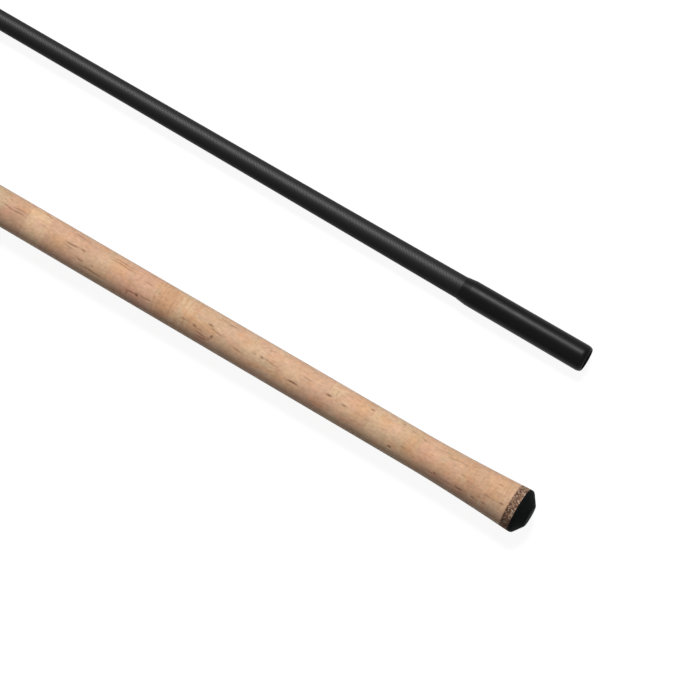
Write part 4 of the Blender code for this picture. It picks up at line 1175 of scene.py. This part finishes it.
def bar(bm, path, sideways, half_width, half_height, looped=False, corners=14, power=0.6):
    """A closed bar along a path, wide along sideways, with soft corners. At a power of 1 it is round."""
    count = len(path)
    rings = []
    for i in range(count):
        before = path[i - 1] if looped or i else path[0]
        after = path[(i + 1) % count] if looped or i < count - 1 else path[-1]
        way = (after - before).normalized()
        side = (sideways[i] - way * sideways[i].dot(way)).normalized()
        thick = way.cross(side)
        a, b = half_width(i / (count - 1)), half_height(i / (count - 1))
        ring = []
        for angle in (2 * pi * j / corners for j in range(corners)):
            ring.append(bm.verts.new(path[i] + side * a * squared(cos(angle), power)
                                     + thick * b * squared(sin(angle), power)))
        rings.append(ring)
    if not looped:
        bm.faces.new(rings[0][::-1])
        bm.faces.new(rings[-1])
    bridged(bm, rings, looped)


def welded(name, bm, voxel):
    """One skin of steel round bars that run into each other, with the corners between them filled."""
    bmesh.ops.recalc_face_normals(bm, faces=bm.faces)
    rough = mesh_object(name, bm, steel)
    weld = rough.modifiers.new("weld", "REMESH")
    weld.mode = "VOXEL"
    weld.voxel_size = voxel
    ease = rough.modifiers.new("ease", "SMOOTH")
    ease.factor = 0.5
    ease.iterations = 5
    return settled(rough)


def holder(bm, body, x, height, radius):
    """The round band that holds a ceramic ring, with its mouth flush round the ring."""
    steps = max(48, int(radius / MM * 9))
    wall = BAND_WALL + BAND_LAP
    middle = radius - wall / 2
    angles = [2 * pi * i / steps for i in range(steps)]
    path = [stood(body, x, middle * sin(angle), height + middle * cos(angle)) for angle in angles]
    along = [Vector((1, 0, 0))] * steps
    bar(bm, path, along, lambda t: BAND_WIDTH / 2, lambda t: wall / 2, looped=True)


def strut(bm, body, root, crown, root_way, crown_way, crown_side, half_width, half_height):
    """A strip bent from a foot to the holder. Points and ways are (x, side, up)."""
    origin = stood(body, 0, 0, 0)
    start, end = stood(body, *root), stood(body, *crown)
    points = start, start + stood(body, *root_way) - origin, end + stood(body, *crown_way) - origin, end
    root_side = stood(body, 0, 1, 0) - origin
    crown_side = stood(body, *crown_side) - origin
    path, sides = [], []
    for t in (i / 24 for i in range(25)):
        weights = (1 - t) ** 3, 3 * t * (1 - t) ** 2, 3 * t * t * (1 - t), t ** 3
        path.append(sum((point * weight for point, weight in zip(points, weights)), Vector()))
        sides.append(root_side.lerp(crown_side, eased(t)))
    bar(bm, path, sides, half_width, half_height)


def ceramic_ring(name, node, body, x, height, radius):
    """The ring that the line runs over: a smooth oval section, revolved about the guide's centre."""
    middle = radius - BAND_WALL - CERAMIC_GAP - CERAMIC_WALL / 2
    centre = stood(body, 0, 0, height)
    profile = []
    for angle in (2 * pi * i / 24 for i in range(24)):
        profile.append((x + CERAMIC_WIDTH / 2 * squared(cos(angle), 0.8),
                        middle + CERAMIC_WALL / 2 * squared(sin(angle), 0.8)))
    fit(turned(name, profile, ceramic, (centre.y, centre.z)), body, node)


def whipping(name, node, body, outside, start, end, lift=lambda x: (0, 0, 0)):
    """Thread wound from start to end under a skin of varnish. lift(x) is what it climbs over:
    half the width and the top of a foot there, and the share of that climb."""
    def reach(x, turn):
        half_width, top, share = lift(x)
        bare = outside(x)
        return bare + (drawn_over(bare, half_width, top, turn) - bare) * share

    turns = (2 * np.pi * np.arange(WHIPPING_SIDES) / WHIPPING_SIDES + np.pi) % (2 * np.pi) - np.pi
    length = abs(end - start)
    way = 1 if end > start else -1
    profile = []
    for along in np.linspace(0, length, max(12, int(length / WHIPPING_ROW))):
        x = start + way * along
        gap = min(1, min(along, length - along) / WHIPPING_EDGE)
        build = VARNISH_BUILD * sqrt(1 - (1 - gap) ** 2) + VARNISH_FILM
        profile.append((x, softened(np.array([reach(x, turn) for turn in turns]), 1.2) + build))
    profile += [(x, outside(x) + WHIPPING_FIT) for x in (end, start)]
    skin = turned(name + "_varnish", profile, varnished, axis_of[body], WHIPPING_SIDES, start=lean_of[body])
    inset = way * CORD_INSET
    cord = wound(name + "_cord", start + inset, end - inset, 2 * CORD_RADIUS,
                 lambda x, turn: reach(x, turn) + CORD_RISE, CORD_RADIUS, varnished, body,
                 steps=40, sides=6)
    fit(joined(name, skin, cord), body, node)


def make_guide(name, body, station, radius, rise, gap, foot_length, foot_width, feet):
    """A frame with one or two feet, its ceramic ring, and a whipping over each foot."""
    outside = butt_radius if body == BUTT else tip_radius
    x0 = station if body == BUTT else rim_x + station
    base = outside(x0 - gap - foot_length) + FOOT_GAP
    height = base + rise + radius
    sideways = stood(body, 0, 1, 0) - stood(body, 0, 0, 0)
    ways = (1, -1)[:feet]
    inset, half = foot_width * (1 + STRUT_GAP) / 4, foot_width * (1 - STRUT_GAP) / 4
    middle = radius - BAND_WALL / 2
    c, s = cos(STRUT_ANGLE), sin(STRUT_ANGLE)

    def thickness(x, toe):
        return TOE_THICKNESS + (FOOT_THICKNESS - TOE_THICKNESS) * ramp(abs(toe - x), 0, TOE_RAMP)

    bm = bmesh.new()
    holder(bm, body, x0, height, radius)
    for way in ways:
        heel = x0 + way * gap
        toe = heel + way * foot_length
        xs = [heel + way * foot_length * i / 16 for i in range(17)]
        bar(bm, [stood(body, x, 0, base + thickness(x, toe) / 2) for x in xs], [sideways] * len(xs),
            lambda t: foot_width / 2 * (1 - TOE_NARROWING * max(0, 2 * t - 1) ** 2),
            lambda t: thickness(heel + way * foot_length * t, toe) / 2)
        for hand in (1, -1):
            strut(bm, body, (heel + way * STRUT_ROOT / 2, hand * inset, base + FOOT_THICKNESS / 2),
                  (x0 + way * BAND_WIDTH / 5, hand * middle * s, height - middle * c),
                  (-way * 0.2 * gap, 0, rise * 0.55), (way * gap * 0.45, 0, -rise * 0.1),
                  (0, c, hand * s), lambda t: half * (1 - t) + STRUT_CROWN_WIDTH / 2 * t,
                  lambda t: STRUT_THICKNESS / 2)
    wire = welded(name + "_wire", bm, WELD_GRAIN if radius > SMALL_HOLDER else FINE_WELD_GRAIN)
    fit(wire, body, name + "_frame")
    ceramic_ring(name + "_insert", name + "_ring", body, x0, height, radius)
    for label, way in zip(("front_whipping", "rear_whipping") if feet == 2 else ("whipping",), ways):
        heel = x0 + way * gap
        toe = heel + way * foot_length

        def lift(x):
            past_toe = (x - toe) * way
            top = base + (thickness(x, toe) if past_toe < 0 else TOE_THICKNESS)
            return foot_width / 2, top + WHIPPING_LIFT, eased(1 - ramp(past_toe, 0, WHIPPING_CLIMB))

        whipping(f"{name}_{label}_thread", f"{name}_{label}", body, outside,
                 heel + way * (STRUT_ROOT + WHIPPING_GAP), toe + way * WHIPPING_RUN, lift)


for guide, (body, *sizes, feet) in GUIDES.items():
    make_guide(guide, body, *(size * MM for size in sizes), feet)


# Tip-top: a steel tube glued over the blank's end. Two struts carry its ring ahead of the
# tip, and a short whipping covers the end of the tube.
TOP_RADIUS = 7 * MM
TOP_TUBE = 12 * MM
TOP_WALL = 0.6 * MM
TOP_GLUE = 0.1 * MM
TOP_LIP = 0.1 * MM
TOP_REACH = 4.5 * MM
TOP_RISE = 1.2 * MM
TOP_WHIPPING = 10 * MM
TOP_CLIMB = 1.2 * MM
TOP_LIFT = 0.03 * MM
TOP_STRUT_ROOT = 3 * MM
TOP_STRUT_SEAT = 0.55
TOP_STRUT_WIDTH = 1.5 * MM
TOP_STRUT_THICKNESS = 1 * MM
TOP_WELD_GRAIN = 0.13 * MM
# Where each strut meets the ring, as shares of its radius: sideways and down
TOP_STRUT_SIDE, TOP_STRUT_DROP = 0.5, 0.866
tube_start, tube_end = blank_high.x - TOP_TUBE, blank_high.x
tube_outer = tip_radius(tube_start) + TOP_GLUE + TOP_WALL
top_height = tube_outer + TOP_RISE + TOP_RADIUS
top_x = tube_end + TOP_REACH


def over_tube(x):
    """Outside of the blank and, past its start, of the tip-top's tube."""
    bare = tip_radius(x)
    return bare + (tube_outer + TOP_LIFT - bare) * ramp(x, tube_start - TOP_CLIMB, tube_start)


bm = bmesh.new()
holder(bm, TIP, top_x, top_height, TOP_RADIUS)
line = [stood(TIP, tube_start + (TOP_TUBE + TOP_LIP) * i / 12, 0, 0) for i in range(13)]
bar(bm, line, [Vector((0, 1, 0))] * 13, lambda t: tube_outer, lambda t: tube_outer, corners=24,
    power=1)
for hand in (1, -1):
    middle = TOP_RADIUS - BAND_WALL / 2
    strut(bm, TIP,
          (tube_end - TOP_STRUT_ROOT, hand * tube_outer * TOP_STRUT_SEAT, tube_outer * TOP_STRUT_SEAT),
          (top_x - BAND_WIDTH / 5, hand * middle * TOP_STRUT_SIDE, top_height - middle * TOP_STRUT_DROP),
          (2.5 * MM, hand * 0.3 * MM, 0.5 * MM), (-2.5 * MM, 0, -0.8 * MM),
          (0, TOP_STRUT_DROP, hand * TOP_STRUT_SIDE),
          lambda t: TOP_STRUT_WIDTH / 2, lambda t: TOP_STRUT_THICKNESS / 2)
fit(welded("tip_top_wire", bm, TOP_WELD_GRAIN), TIP, "tip_top_frame")
ceramic_ring("tip_top_insert", "tip_top_ring", TIP, top_x, top_height, TOP_RADIUS)
whipping("tip_top_thread", "tip_top_whipping", TIP, over_tube, tube_start - TOP_WHIPPING * 2 / 3,
         tube_start + TOP_WHIPPING / 3)


# Joint whipping: black nylon thread wound round the butt blank behind its shoulder, where
# the joint strains it, and varnished over.
JOINT_WHIPPING = 18 * MM
whipping("joint_thread", "male_end_whipping", BUTT, butt_radius, BUTT_SHOULDER - JOINT_WHIPPING,
         BUTT_SHOULDER)
